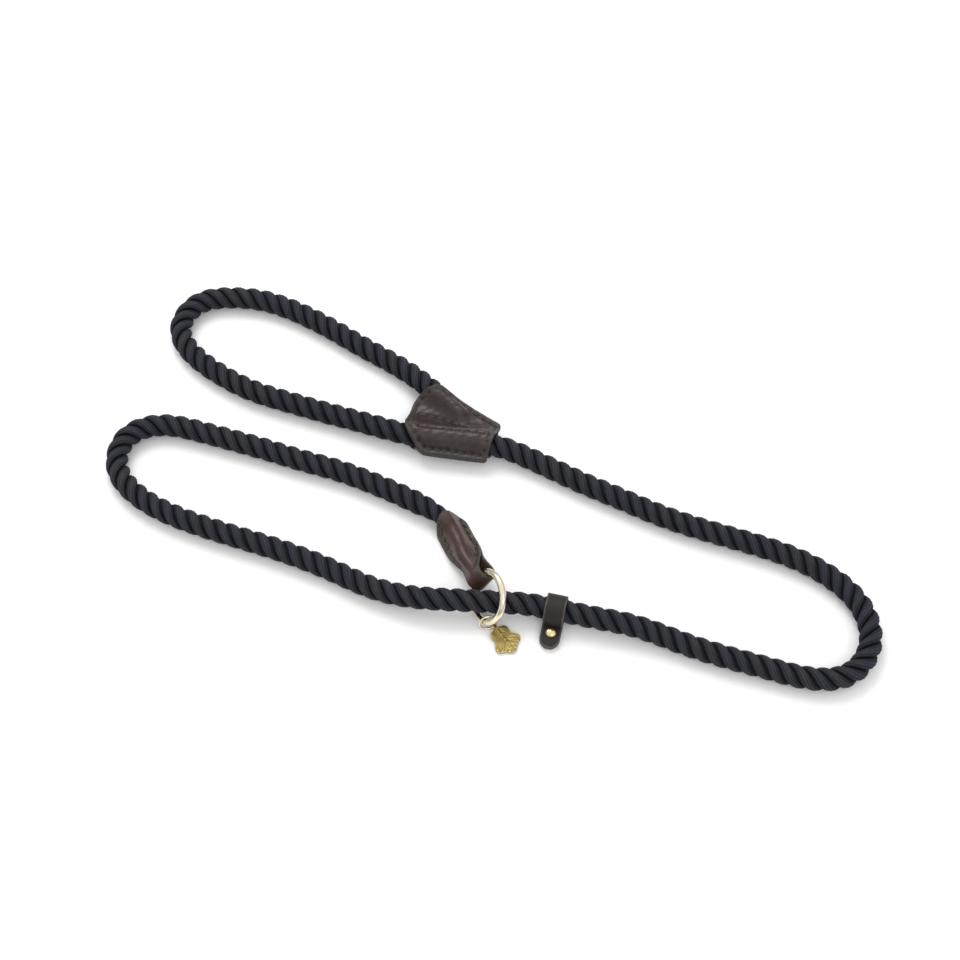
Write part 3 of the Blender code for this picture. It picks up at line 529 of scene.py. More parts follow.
# ---- the splice cover ---------------------------------------------------------------------------
COVER_CORNERS = [
    (-0.0228, 0.0515, 0.0060), (0.0094, 0.0297, 0.0022), (0.0010, 0.0078, 0.0018),
    (-0.0335, 0.0125, 0.0085), (-0.0428, 0.0262, 0.0130), (-0.0362, 0.0468, 0.0110),
]
COVER_SEAM_Z = 0.0070
COVER_ROPE_Z = 0.0079
COVER_CLEAR = 0.0006
COVER_LEAN = math.radians(47)  # of its sides, down from the ropes
COVER_RIM_WIDTH = 0.0060       # over which the back panel rises to meet the front one
COVER_AROUND = 260
COVER_INSETS = [0.0, 0.00012, 0.0003, 0.0006, 0.0010]       # of the rings that round the cut edge
COVER_RINGS = 46               # from there to the middle
EDGE_SEAM_INSET = 0.0024
UPPER_SEAM = [(-0.0345, 0.0360), (-0.0250, 0.0340), (-0.0140, 0.0290), (-0.0040, 0.0262)]
LOWER_SEAM = [(-0.0340, 0.0252), (-0.0230, 0.0240), (-0.0110, 0.0228), (0.0005, 0.0210)]
STITCH_PITCH = 0.0043
STITCH_LENGTH = 0.0030
STITCH_R = 0.00042
STITCH_RINGS = 13
STITCH_SIDES = 10
SEAM_PULL = 0.00060            # how far a seam draws the leather in
HOLE_DEPTH = 0.00055
HOLE_R = 0.00078
EDGE_ROUND = 0.0006            # radius of a panel's cut edge outside; inside it drops by less
EDGE_ROUND_INSIDE = 0.0003


def rounded_outline(corners, samples=12):
    """A closed outline with an arc at each corner."""
    found = []
    for i, (x, y, radius) in enumerate(corners):
        here = Vector((x, y))
        back = (Vector(corners[i - 1][:2]) - here).normalized()
        ahead = (Vector(corners[(i + 1) % len(corners)][:2]) - here).normalized()
        half = back.angle(ahead) / 2
        middle = here + (back + ahead).normalized() * radius / math.sin(half)
        start = here + back * radius / math.tan(half)
        end = here + ahead * radius / math.tan(half)
        for t in np.linspace(0, 1, samples):
            spoke = (start - middle).lerp(end - middle, t).normalized()
            found.append(middle + spoke * radius)
    found.append(found[0])
    line = np.array([(p.x, p.y) for p in found])
    return read_at(line, np.linspace(0, along_of(line)[-1], COVER_AROUND + 1)[:-1])


def inset(outline, distance):
    """A closed clockwise outline moved inwards."""
    run = np.roll(outline, -1, axis=0) - np.roll(outline, 1, axis=0)
    run /= np.linalg.norm(run, axis=1)[:, None]
    return outline + np.c_[run[:, 1], -run[:, 0]] * distance


def over_rope(distance, centre, radius, lean):
    """Height of a sheet laid over a round rope: round on top, then straight down at a steady lean."""
    knee = radius * np.sin(lean)
    top = centre + np.sqrt(np.maximum(radius * radius - distance * distance, 0))
    side = centre + radius * np.cos(lean) - np.tan(lean) * (distance - knee)
    return np.where(distance <= knee, top, side)


def above(value, base, softness=0.0024):
    """The larger of the two, with a soft corner."""
    return base + 0.5 * (value - base + np.hypot(value - base, softness))


HANDLE_LINE = ROPE_LINE[: HANDLE_LAST * CURVE_SAMPLES + 1]
STANDING_LINE = ROPE_LINE[HANDLE_LAST * CURVE_SAMPLES : STANDING_LAST * CURVE_SAMPLES + 1]
HANDLE_RADII = rope_radius(along_of(HANDLE_LINE))
STANDING_RADII = np.full(len(STANDING_LINE), ROPE_R)
COVER_ROPES = ((HANDLE_LINE, HANDLE_RADII), (STANDING_LINE, STANDING_RADII))
COVER_RIM = rounded_outline(COVER_CORNERS)


def cover_bulge(points, base, clear=COVER_CLEAR):
    """Height of the leather over the ropes."""
    height = np.full(len(points), base)
    for line, radii in COVER_ROPES:
        distance, nearest = near(line, points)
        height = above(over_rope(distance, COVER_ROPE_Z, radii[nearest] + clear, COVER_LEAN), height)
    return height


def under_ropes(points):
    """The highest that leather may lie without touching the ropes from below: it may rise beside them."""
    highest = np.full(len(points), COVER_ROPE_Z + ROPE_R)
    for line, radii in COVER_ROPES:
        distance, nearest = near(line, points)
        radius = radii[nearest] + COVER_CLEAR
        below = COVER_ROPE_Z - np.sqrt(np.maximum(radius * radius - distance * distance, 0))
        beside = COVER_ROPE_Z + 1.5 * (distance - radius)
        highest = np.minimum(highest, np.where(distance < radius, below, beside))
    return highest


def rim_share(points):
    """1 at the cover's cut edge, down to 0 at COVER_RIM_WIDTH inside it."""
    inside = np.minimum(near(COVER_RIM, points)[0] / COVER_RIM_WIDTH, 1.0)
    return 1 - inside * inside * (3 - 2 * inside)


def seam_lines():
    """The seams on the splice cover: each one's CAD node, and its line in plan."""
    edge = inset(COVER_RIM, EDGE_SEAM_INSET)
    found = {"cover_edge_thread": np.vstack([edge, edge[:1]])}
    for node_name, seam in (("cover_upper_seam_thread", UPPER_SEAM), ("cover_lower_seam_thread", LOWER_SEAM)):
        found[node_name] = smooth_curve([(x, y, 0.0) for x, y in seam], CURVE_SAMPLES)[:, :2]
    return found


def stitch_starts(line):
    """Even places along a seam, about one pitch apart."""
    length = along_of(line)[-1]
    return np.linspace(0, length, round(length / STITCH_PITCH) + 1)


def cover_holes():
    """Where the needle went through the cover."""
    return np.vstack([read_at(line, stitch_starts(line)) for line in seam_lines().values()])


def seam_pull(points):
    """How far the stitches pull the leather down, in metres."""
    pull = np.zeros(len(points))
    for line in seam_lines().values():
        dense = read_at(line, np.arange(0, along_of(line)[-1], 0.0004))
        distance, _ = near(dense, points)
        pull = np.maximum(pull, SEAM_PULL * np.exp(-((distance / 0.0010) ** 2)))
    return pull


def hole_depth(points):
    """1 at the middle of a needle hole, down to 0 around it."""
    apart = np.hypot(*(points[:, None, :2] - cover_holes()[None]).transpose(2, 0, 1)).min(axis=1)
    return np.exp(-((apart / HOLE_R) ** 2))


def panel_rings():
    """(rings of plan points from the cut edge inwards, how far in each one is, the middle point)."""
    middle = COVER_RIM.mean(axis=0)
    inner = inset(COVER_RIM, COVER_INSETS[-1])
    reach = float(np.linalg.norm(inner - middle, axis=1).mean())
    rings = [inset(COVER_RIM, d) for d in COVER_INSETS[:-1]]
    depths = list(COVER_INSETS[:-1])
    for k in range(COVER_RINGS):
        scale = 1 - k / COVER_RINGS
        rings.append(middle + (inner - middle) * scale)
        depths.append(COVER_INSETS[-1] + reach * (1 - scale))
    return rings, depths, middle


def edge_round(depth, radius=EDGE_ROUND):
    """How far the surface drops near the cut edge, to round it."""
    if depth >= radius:
        return 0.0
    return radius - math.sqrt(radius * radius - (radius - depth) ** 2)


def leather_panel(name, show, hide, material, outward):
    """A panel between its outside face, whose height comes from show, and its inside face, from hide.

    outward is 1 for a panel that faces up and -1 for one that faces down. Its faces look inward.
    """
    rings, depths, middle = panel_rings()
    plan = np.vstack([*rings, middle[None]])
    depth = np.r_[np.repeat(depths, COVER_AROUND), depths[-1] + 0.001]
    drop = np.r_[np.repeat([edge_round(d) for d in depths], COVER_AROUND), 0.0]
    shown = show(plan) - outward * drop
    hidden = hide(plan) + outward * np.minimum(drop, EDGE_ROUND_INSIDE)
    count = len(plan)
    vertices = np.vstack([np.c_[plan, shown], np.c_[plan, hidden]])
    last = (len(rings) - 1) * COVER_AROUND
    front = grid_faces(len(rings), COVER_AROUND, wrap_columns=True)
    front += [(last + i, last + (i + 1) % COVER_AROUND, count - 1) for i in range(COVER_AROUND)]
    faces = two_sheets(front, count) + ring_wall(COVER_AROUND, count)
    if outward < 0:
        faces = flipped(faces)
    edge = np.clip(1.15 - depth / 0.0011, 0, 1)
    border = np.clip(1.3 - depth / 0.0048, 0, 1)
    # Painted shade in the needle holes, on the front panel's outside only.
    holes = hole_depth(plan) if outward > 0 else np.zeros(count)
    return mesh_piece(name, vertices, faces, material, sharp=70, edge=np.r_[edge, edge],
                      border=np.r_[border, border], hole=np.r_[holes, np.zeros(count)])


def puckers(points):
    """Shallow dents and swellings of formed leather, in metres."""
    x, y = points[:, 0], points[:, 1]
    wide = np.sin(520 * x + 230 * y + 1.0) * np.sin(410 * y - 190 * x)
    tight = np.sin(1150 * x - 700 * y) * np.sin(980 * y + 330 * x + 2.0)
    return 0.00020 + 0.00016 * wide + 0.00010 * tight


def front_face(points):
    """The outside of the cover's upper panel, without its rounded edge."""
    outside = cover_bulge(points, COVER_SEAM_Z + GAP / 2) + LEATHER + puckers(points)
    return outside - seam_pull(points) - HOLE_DEPTH * hole_depth(points)


def front_inside(points):
    """The inside of the upper panel."""
    return cover_bulge(points, COVER_SEAM_Z + GAP / 2, clear=0.0004)


def back_inside(points):
    """The inside of the lower panel: the front one's mirror image, but drawn up to it at the edge."""
    mirrored = 2 * COVER_ROPE_Z - cover_bulge(points, 2 * COVER_ROPE_Z - COVER_SEAM_Z + GAP / 2)
    drawn_up = mirrored + rim_share(points) * (front_inside(points) - 0.5 * GAP - mirrored)
    return np.maximum(np.minimum(drawn_up, under_ropes(points)), LEATHER)


def back_outside(points):
    """The underside of the cover."""
    return back_inside(points) - LEATHER


def surface_points(face, plan):
    """Points on a height surface, with its normals."""
    step = 0.0003
    slope_x = (face(plan + (step, 0)) - face(plan - (step, 0))) / (2 * step)
    slope_y = (face(plan + (0, step)) - face(plan - (0, step))) / (2 * step)
    normals = np.c_[-slope_x, -slope_y, np.ones(len(plan))]
    normals /= np.linalg.norm(normals, axis=1)[:, None]
    return np.c_[plan, face(plan)], normals


def stitch(start, end, normal):
    """One stitch of two-ply thread, which rises out of one hole and goes down into the next.

    Its faces look inward.
    """
    start, end, normal = Vector(start), Vector(end), Vector(normal)
    run = (end - start).normalized()
    side = normal.cross(run).normalized()
    up = run.cross(side)
    points = []
    for i in range(STITCH_RINGS):
        t = i / (STITCH_RINGS - 1)
        rise = math.sin(math.pi * t)
        centre = start.lerp(end, t) + up * STITCH_R * (1.35 * rise**0.6 - 0.75)
        thick = STITCH_R * (0.70 + 0.30 * rise**0.5)
        for j in range(STITCH_SIDES):
            a = 2 * math.pi * j / STITCH_SIDES
            ply = 1 + 0.13 * math.cos(2 * (a - 2.6 * math.pi * t))
            points.append(centre + (side * math.cos(a) + up * math.sin(a)) * thick * ply)
    return points, flipped(tube_faces(STITCH_RINGS, STITCH_SIDES))


def stitched_seam(node_name, parts, material, body):
    """The stitches of one seam, as one piece in the place of its thread in the CAD."""
    name = node_name.replace("_seam", "").replace("thread", "stitches")
    stands_for(mesh_piece(name, *joined(parts), material), body, "thread", node_name)


def make_cover(thread):
    chocolate = leather_material("chocolate_leather", (0.016, 0.0095, 0.0080), (0.034, 0.0205, 0.0160),
                                 (0.034, 0.031, 0.027), 0.38, 0.24, 1150.0)
    front = leather_panel("formed_cover_front", front_face, front_inside, chocolate, 1)
    back = leather_panel("formed_cover_back", back_outside, back_inside, chocolate, -1)
    stands_for(front, "lead_body", "chocolate", "splice_cover_front")
    stands_for(back, "lead_body", "chocolate", "splice_cover_back")
    for node_name, line in seam_lines().items():
        parts = []
        for a, b in pairwise(stitch_starts(line)):
            slack = (b - a - STITCH_LENGTH) / 2
            points, normals = surface_points(front_face, read_at(line, [a + slack, (a + b) / 2, b - slack]))
            parts.append(stitch(points[0], points[2], normals[1]))
        stitched_seam(node_name, parts, thread, "lead_body")


# ---- the folded tab -----------------------------------------------------------------------------
TAB_START = Vector((-0.0195, -0.0225, 0.0))
TAB_DIRECTION = Vector((0.43, -0.903, 0.0)).normalized()
TAB_HALF_WIDTH = 0.0086
TAB_EYE_HALF_WIDTH = 0.0056
TAB_FLOOR_Z = 0.0018
TAB_EYE_AT = 0.0415
TAB_EYE_R = 0.0040
TAB_EYE_Z = 0.01224
TAB_TWIST = math.radians(52)
TAB_CLEAR = 0.0005
TAB_SEAM_INSET = 0.0021
TAB_SEAM_PLACES = np.linspace(0.0052, 0.0300, 7)
TAB_STITCH_LENGTH = 0.0032
TAB_SEAM_PULL = 0.00042
TAB_HOLE_DEPTH = 0.0005
TAB_HOLE_R = 0.00055
TAB_TURNED = (0.014, 0.040)    # where along it the twist starts and ends
TAB_RAISED = (0.014, 0.043)    # and the rise to the eye's height
TAB_NARROWED = (0.020, 0.041)  # and the narrowing
TAB_OPENS_AT = 0.0290          # where its top layer starts to leave the lower one
TAB_UNDER_OPENS_AT = 0.0300
TAB_COLUMNS = 41
TAIL_LINE = read_at(ROPE_LINE, np.linspace(ROPE_LENGTH - 0.045, ROPE_LENGTH, 120))
TAIL_FROM_END = np.linspace(0.045, 0.0, 120)
TAIL_END_AT = (Vector((*ROUTE[-1][:2], 0.0)) - TAB_START).dot(TAB_DIRECTION)


def ease(value, start, end):
    """0 up to start and 1 from end on, with a smooth step between."""
    t = min(max((value - start) / (end - start), 0.0), 1.0)
    return t * t * (3 - 2 * t)


def tab_point(s, across, height):
    """A point of the tab from its place along it, across it, and off the plane between its layers."""
    twist = TAB_TWIST * ease(s, *TAB_TURNED)
    side = Vector((-TAB_DIRECTION.y, TAB_DIRECTION.x, 0.0))
    up = Vector((0, 0, 1))
    lateral = side * math.cos(twist) + up * math.sin(twist)
    normal = up * math.cos(twist) - side * math.sin(twist)
    z = TAB_FLOOR_Z + (TAB_EYE_Z - TAB_FLOOR_Z) * ease(s, *TAB_RAISED)
    return TAB_START + TAB_DIRECTION * s + up * z + lateral * across + normal * height


def tab_half_width(s):
    """Half the tab's width: round at its cut end and narrower at its eye."""
    width = TAB_HALF_WIDTH + (TAB_EYE_HALF_WIDTH - TAB_HALF_WIDTH) * ease(s, *TAB_NARROWED)
    if s < TAB_HALF_WIDTH:
        width *= math.sqrt(max(1 - (1 - s / TAB_HALF_WIDTH) ** 2, 0.0))
    return width


def half_gap(s, opens_at):
    """Half the room between the tab's two layers."""
    opened = ease(s, opens_at, TAB_EYE_AT)
    return GAP / 2 * (1 - opened) + TAB_EYE_R * opened


def tab_height(s, across):
    """Height of the top layer's underside: formed over the rope's end, and opened at the fold."""
    place = tab_point(min(s, TAIL_END_AT), across, 0)
    apart = np.hypot(TAIL_LINE[:, 0] - place.x, TAIL_LINE[:, 1] - place.y)
    nearest = int(apart.argmin())
    beside = float(apart[nearest])
    radius = float(np.interp(TAIL_FROM_END[nearest], *zip(*TAIL_FORM_RADII)))
    lift = max(float(TAIL_LINE[nearest, 2]) - place.z, radius + GAP)
    past = ease(s, TAIL_END_AT - 0.001, TAB_EYE_AT - 0.0035)
    beside += past * (abs(across) - beside)
    lift += past * (TAB_EYE_R - TAB_CLEAR - radius - lift)
    over = float(over_rope(beside, lift, radius + TAB_CLEAR, math.radians(56)))
    return max(float(above(over, GAP / 2, 0.0008)), half_gap(s, TAB_OPENS_AT))


def tab_seam_across(s, sign):
    """How far a seam is from the tab's middle line."""
    return sign * (tab_half_width(s) - TAB_SEAM_INSET)


def tab_marks(s, across):
    """(pull of the seams, depth of the nearest needle hole, which also sets the painted shade there) at a
    place on the tab's top.
    """
    pull, hole = 0.0, 0.0
    for sign in (-1, 1):
        beside = across - tab_seam_across(s, sign)
        inside = ease(s, 0.0030, TAB_SEAM_PLACES[0]) * (1 - ease(s, TAB_SEAM_PLACES[-1], 0.0325))
        pull = max(pull, inside * math.exp(-((beside / 0.0009) ** 2)))
        gap = float(np.abs(TAB_SEAM_PLACES - s).min())
        hole = max(hole, inside * math.exp(-((math.hypot(beside, gap) / TAB_HOLE_R) ** 2)))
    return pull, hole


def tab_rows():
    """Places along the tab, closer together at its rounded end."""
    return np.r_[0.0002 + 0.0058 * np.linspace(0, 1, 16)[:-1] ** 1.6, np.linspace(0.0060, 0.0395, 62)]


def tab_face(outside):
    """(grid of points, distances in from the cut edge, painted shade of the needle holes) over the top, round
    the fold and back.
    """
    rows, margins, holes = [], [], []
    thick = LEATHER if outside else 0.0
    span = list(tab_rows())
    stations = [(s, 0.0) for s in span]
    stations += [(TAB_EYE_AT, math.pi * i / 24) for i in range(25)]
    stations += [(s, math.pi) for s in reversed(span)]
    for s, angle in stations:
        half = tab_half_width(s)
        row = []
        for a in crowded(TAB_COLUMNS, 1.35):
            across, hole = a * half, 0.0
            margin = min(half * (1 - abs(a)), s)
            round_off = edge_round(margin)
            grown = thick - round_off if outside else min(round_off, EDGE_ROUND_INSIDE)
            if s == TAB_EYE_AT:
                reach = TAB_EYE_R + grown
                row.append(tab_point(s + reach * math.sin(angle), across, reach * math.cos(angle)))
            elif angle:
                row.append(tab_point(s, across, -half_gap(s, TAB_UNDER_OPENS_AT) - grown))
            else:
                pull, hole = tab_marks(s, across) if outside else (0.0, 0.0)
                drop = TAB_SEAM_PULL * pull + TAB_HOLE_DEPTH * hole
                row.append(tab_point(s, across, tab_height(s, across) + grown - drop))
            margins.append(margin)
            holes.append(hole)
        rows.append(row)
    return rows, margins, holes


def strap_solid(name, outer, inner, material, **attributes):
    """A closed strap between two grids of points of the same size. Its faces look inward."""
    rows, columns = len(outer), len(outer[0])
    vertices = [p for grid in (outer, inner) for row in grid for p in row]
    sheet = rows * columns
    rim = list(range(columns))
    rim += [i * columns + columns - 1 for i in range(1, rows)]
    rim += [(rows - 1) * columns + j for j in range(columns - 2, -1, -1)]
    rim += [i * columns for i in range(rows - 2, 0, -1)]
    wall = [(b, a, sheet + a, sheet + b) for a, b in pairwise([*rim, rim[0]])]
    faces = two_sheets(grid_faces(rows, columns), sheet) + wall
    return mesh_piece(name, vertices, faces, material, sharp=70, **attributes)


def make_tab(thread):
    chestnut = leather_material("chestnut_leather", (0.024, 0.011, 0.009), (0.056, 0.022, 0.018),
                                (0.047, 0.041, 0.035), 0.38, 0.22, 1050.0)
    outer, margins, holes = tab_face(True)
    inner, _, _ = tab_face(False)
    margins = np.array(margins + margins)
    # The tab's needle holes get painted shade from the hole values of tab_face.
    tab = strap_solid("folded_tab", outer, inner, chestnut, edge=np.clip(1.1 - margins / 0.0010, 0, 1),
                      border=np.clip(1.25 - margins / 0.0042, 0, 1), hole=holes + [0.0] * len(holes))
    stands_for(tab, "slip_end", "chestnut", "slip_tab")
    for sign, node_name in ((-1, "tab_left_seam_thread"), (1, "tab_right_seam_thread")):
        parts = []
        for a, b in pairwise(TAB_SEAM_PLACES):
            slack = (b - a - TAB_STITCH_LENGTH) / 2
            ends = []
            for s in (a + slack, b - slack):
                across = tab_seam_across(s, sign)
                ends.append(tab_point(s, across, tab_height(s, across) + LEATHER - TAB_SEAM_PULL))
            middle = (a + b) / 2
            across = tab_seam_across(middle, sign)
            parts.append(stitch(*ends, tab_point(middle, across, 0.001) - tab_point(middle, across, 0.0)))
        stitched_seam(node_name, parts, thread, "slip_end")


# ---- ring, jump ring and charm ------------------------------------------------------------------
RING_CENTRE = Vector((0.0020, -0.0719, 0.0129))
RING_NORMAL = Vector((-0.81, -0.275, 0.518)).normalized()
RING_R = 0.0126
RING_WIRE_R = 0.00178
JUMP_R = 0.0042
JUMP_WIRE_R = 0.00055
JUMP_OPPOSITE = Vector((0.0, 0.883, 0.469))
JUMP_PLACE = math.radians(-8)
JUMP_NORMAL = Vector((0.20, -0.91, 0.36)).normalized()
JUMP_DOWN = Vector((0.72, -0.11, -0.69))
JUMP_ROOM = 0.00045            # between the two rings' wires
JUMP_CUT = 0.035               # angle of the split, in radians
CHARM_LOBE_R = 0.0079
CHARM_CENTRE_AT = 0.0096
CHARM_THICKNESS = 0.0013
CHARM_DIRECTION = Vector((0.60, -0.80, -0.055)).normalized()
CHARM_AROUND = 240
CHARM_RINGS = 44
BACK_HOLLOW = 0.25             # how dark the metal is behind the leaf
STEM_HOLLOW = 0.15             # and on its stem and bail
BAIL_R = 0.0016
BAIL_WIRE_R = 0.00055


def frame_of(axis, towards):
    """A rotation whose Z is the axis and whose X points towards the given direction."""
    z = axis.normalized()
    x = (towards - towards.dot(z) * z).normalized()
    return Matrix((x, z.cross(x), z)).transposed()


def wire_ring(centre, axis, towards, radius, wire, around, across, cut=0.0):
    """(points, faces) of a wire ring. cut opens it by that angle, opposite to towards."""
    turn = frame_of(axis, towards)
    points = []
    rings = around + 1 if cut else around
    for i in range(rings):
        a = math.pi + cut / 2 + (2 * math.pi - cut) * i / around
        for j in range(across):
            b = 2 * math.pi * j / across
            out = radius + wire * math.cos(b)
            points.append(turn @ Vector((out * math.cos(a), out * math.sin(a), wire * math.sin(b))) + centre)
    if cut:
        return points, flipped(tube_faces(rings, across))
    return points, flipped(grid_faces(rings, across, wrap_rows=True, wrap_columns=True))


def ring_front():
    """The place on the ring's wire where the jump ring hangs."""
    back = (JUMP_OPPOSITE - JUMP_OPPOSITE.dot(RING_NORMAL) * RING_NORMAL).normalized()
    side = back.cross(RING_NORMAL)
    return RING_CENTRE + RING_R * (side * math.sin(JUMP_PLACE) - back * math.cos(JUMP_PLACE))


def jump_frame():
    """The jump ring's centre, and the direction from the ring's wire through it."""
    down = (JUMP_DOWN - JUMP_DOWN.dot(JUMP_NORMAL) * JUMP_NORMAL).normalized()
    inside = JUMP_R - JUMP_WIRE_R - RING_WIRE_R - JUMP_ROOM
    return ring_front() + down * inside, down


def make_rings():
    gold = metal_material("pale_gold_plate", (0.86, 0.78, 0.62), (0.74, 0.65, 0.48), 0.09, 0.25)
    ring = wire_ring(RING_CENTRE, RING_NORMAL, Vector((0.2, 0.9, 0.4)), RING_R, RING_WIRE_R, 160, 24)
    stands_for(mesh_piece("polished_ring", *ring, gold), "ring", "ring", "o_ring")
    centre, down = jump_frame()
    link = wire_ring(centre, JUMP_NORMAL, JUMP_NORMAL.cross(down), JUMP_R, JUMP_WIRE_R, 96, 14, JUMP_CUT)
    stands_for(mesh_piece("split_jump_ring", *link, gold), "link", "ring", "jump_ring")


def leaf_reach(angle):
    """The leaf's outline: two shoulders by the stem, two lobes at the sides and a blunt tip."""
    lobes = 0.88 + 0.08 * math.cos(2 * angle) + 0.10 * math.cos(5 * angle) - 0.07 * math.cos(3 * angle)
    return CHARM_LOBE_R * lobes


def leaf_relief(along, across, share):
    """(height of the leaf's face, how hollow it is); along, across and share are shares of its size."""
    wide = abs(across)
    midrib = math.exp(-((wide / 0.075) ** 2)) * (1 - share**4)
    slant = (along * 0.9 - wide * 0.75 + 0.04 * math.sin(9 * along)) * 3.1
    vein = abs(math.sin(math.pi * slant)) ** 5 * (1 - share**6)
    pillow = math.cos(math.pi * slant) ** 2 * (1 - midrib)
    rim = math.exp(-(((1 - share) / 0.060) ** 2))
    height = 0.00060 * midrib + 0.00046 * vein + 0.00034 * pillow + 0.00030 * rim - 0.00025 * share**2
    return height, min(max(1.0 - 1.2 * midrib - 1.0 * vein - 0.75 * pillow - 1.2 * rim, 0), 1)


def make_charm():
    """The leaf, whose own faces look inward, with its stem and bail ring."""
    brass = metal_material("antique_brass", (0.52, 0.41, 0.15), (0.36, 0.28, 0.09), 0.24, 0.5,
                           recess=(0.085, 0.060, 0.018))
    centre, down = jump_frame()
    bail = centre + down * JUMP_R
    side = CHARM_DIRECTION.cross(Vector((0, 0, 1))).normalized()
    up = side.cross(CHARM_DIRECTION)
    middle = bail + CHARM_DIRECTION * CHARM_CENTRE_AT
    points, hollows = [], []
    for face_up in (1, -1):
        for k in range(CHARM_RINGS + 1):
            share = 1 - k / CHARM_RINGS
            for i in range(CHARM_AROUND):
                a = 2 * math.pi * i / CHARM_AROUND
                reach = leaf_reach(a) * share
                relief, hollow = leaf_relief(share * math.cos(a), share * math.sin(a), share)
                bevel = 0.0003 * max(0.0, share - 0.94) / 0.06
                height = CHARM_THICKNESS / 2 - bevel + (relief * 0.8 - 0.0002 if face_up > 0 else 0.0)
                offset = CHARM_DIRECTION * reach * math.cos(a) + side * reach * math.sin(a)
                points.append(middle + offset + up * height * face_up)
                hollows.append(hollow if face_up > 0 else BACK_HOLLOW)
    sheet = (CHARM_RINGS + 1) * CHARM_AROUND
    front = grid_faces(CHARM_RINGS + 1, CHARM_AROUND, wrap_columns=True)
    faces = two_sheets(front, sheet) + ring_wall(CHARM_AROUND, sheet)
    bail_ring = wire_ring(bail, JUMP_NORMAL.cross(down), CHARM_DIRECTION, BAIL_R, BAIL_WIRE_R, 64, 14)
    stem = turned([(0.0, 0.0), (0.0008, 0.0), (0.0010, 0.0012), (0.0009, 0.0035), (0.0, 0.0035)],
                  bail + CHARM_DIRECTION * (BAIL_R + 0.0001), CHARM_DIRECTION, up, 20)
    vertices, all_faces = joined([(points, faces), bail_ring, stem])
    hollows += [STEM_HOLLOW] * (len(vertices) - len(hollows))
    charm = mesh_piece("veined_leaf_charm", vertices, all_faces, brass, sharp=50, hollow=hollows)
    stands_for(charm, "charm", "charm", "leaf_charm")


def turned(profile, base, axis, towards, sides=48):
    """(points, faces) of a solid turned from (radius, height) points that start and end on its axis."""
    turn = frame_of(axis, towards)
    points, rows = [], []
    for radius, height in profile:
        if radius == 0:
            rows.append([len(points)] * sides)
            points.append(base + turn @ Vector((0, 0, height)))
            continue
        rows.append(list(range(len(points), len(points) + sides)))
        for i in range(sides):
            a = 2 * math.pi * i / sides
            points.append(base + turn @ Vector((radius * math.cos(a), radius * math.sin(a), height)))
    faces = []
    for low, high in zip(rows, rows[1:]):
        for i in range(sides):
            corners = (low[i], low[(i + 1) % sides], high[(i + 1) % sides], high[i])
            faces.append(tuple(dict.fromkeys(corners)))
    return points, faces


# ---- the stop -----------------------------------------------------------------------------------
STOP_CENTRE = Vector((0.0360, -0.0767, 0.0083))
STOP_ALONG = Vector((0.9756, -0.2195, 0.0)).normalized()
STOP_WIDTH = 0.0104
STOP_LEATHER = 0.0013
STOP_LOOP_R = 0.0070
STOP_TAIL_END = 0.0190
STOP_UNDER_Z = 0.00135
RIVET_AT = 0.0108
RIVET_CAP_R = 0.00275
STOP_TURN = 259                # degrees of the strap's loop that are round
STOP_ARC_STEPS = 56


def stop_path():
    """(out, height) of the strap's middle: under the rope, round its back, over it and down in front."""
    low = STOP_UNDER_Z
    top_layer = low + STOP_LEATHER + GAP
    tail = [STOP_TAIL_END - 0.0052 * (1 - math.cos(t)) for t in np.radians(np.linspace(0, 90, 14))]
    tail += [0.0128, 0.0118, RIVET_AT, 0.0095]
    path = [(out, low) for out in (*tail, 0.0080, 0.0065, 0.0050, 0.0038, 0.0025)]
    for i in range(STOP_ARC_STEPS + 1):
        angle = math.radians(-90 - STOP_TURN * i / STOP_ARC_STEPS)
        path.append((STOP_LOOP_R * math.cos(angle), STOP_CENTRE.z + STOP_LOOP_R * math.sin(angle)))
    start = Vector(path[-1])
    leaving = Vector((math.sin(angle), -math.cos(angle)))
    end = Vector((0.0078, top_layer))
    near_start, near_end = start + leaving * 0.0022, end - Vector((0.0010, 0.0))
    for t in np.linspace(0, 1, 12)[1:]:
        u = 1 - t
        path.append(tuple(start * u**3 + near_start * 3 * t * u * u + near_end * 3 * t * t * u + end * t**3))
    path += [(out, top_layer) for out in reversed(tail)]
    return path


def sideways(path):
    """The direction across a plane path at each of its points."""
    run = np.gradient(np.array(path), axis=0)
    run /= np.linalg.norm(run, axis=1)[:, None]
    return np.c_[-run[:, 1], run[:, 0]]


def stop_point(out, along, height):
    """A point of the stop from its places out from the rope, along it, and over the floor."""
    outward = Vector((STOP_ALONG.y, -STOP_ALONG.x, 0.0))
    base = Vector((STOP_CENTRE.x, STOP_CENTRE.y, 0.0))
    return base + outward * out + STOP_ALONG * along + Vector((0, 0, height))


def make_stop():
    black = leather_material("black_leather", (0.010, 0.009, 0.008), (0.018, 0.016, 0.014),
                             (0.100, 0.092, 0.080), 0.55, 0.0, 1300.0)
    path = stop_path()
    grids, edges = [], []
    for face in (1, -1):
        rows = []
        for (middle_out, middle_height), beside in zip(path, sideways(path)):
            half = STOP_WIDTH / 2
            to_tip = middle_out - (STOP_TAIL_END - half)
            if to_tip > 0:
                half = math.sqrt(max(half * half - to_tip * to_tip, 0.0010**2))
            row = []
            for a in crowded(25, 1.4):
                margin = min(half * (1 - abs(a)), STOP_TAIL_END - middle_out if to_tip > 0 else 1)
                depth = face * (STOP_LEATHER / 2 - edge_round(margin, 0.0004))
                out, height = middle_out + beside[0] * depth, middle_height + beside[1] * depth
                row.append(stop_point(out, a * half, height))
                edges.append(min(max(1.0 - margin / 0.0009, 0), 1))
            rows.append(row)
        grids.append(rows)
    strap = strap_solid("stop_strap_folded", *grids, black, edge=edges, border=edges, hole=[0.0] * len(edges))
    stands_for(strap, "stop", "black", "stop_strap")


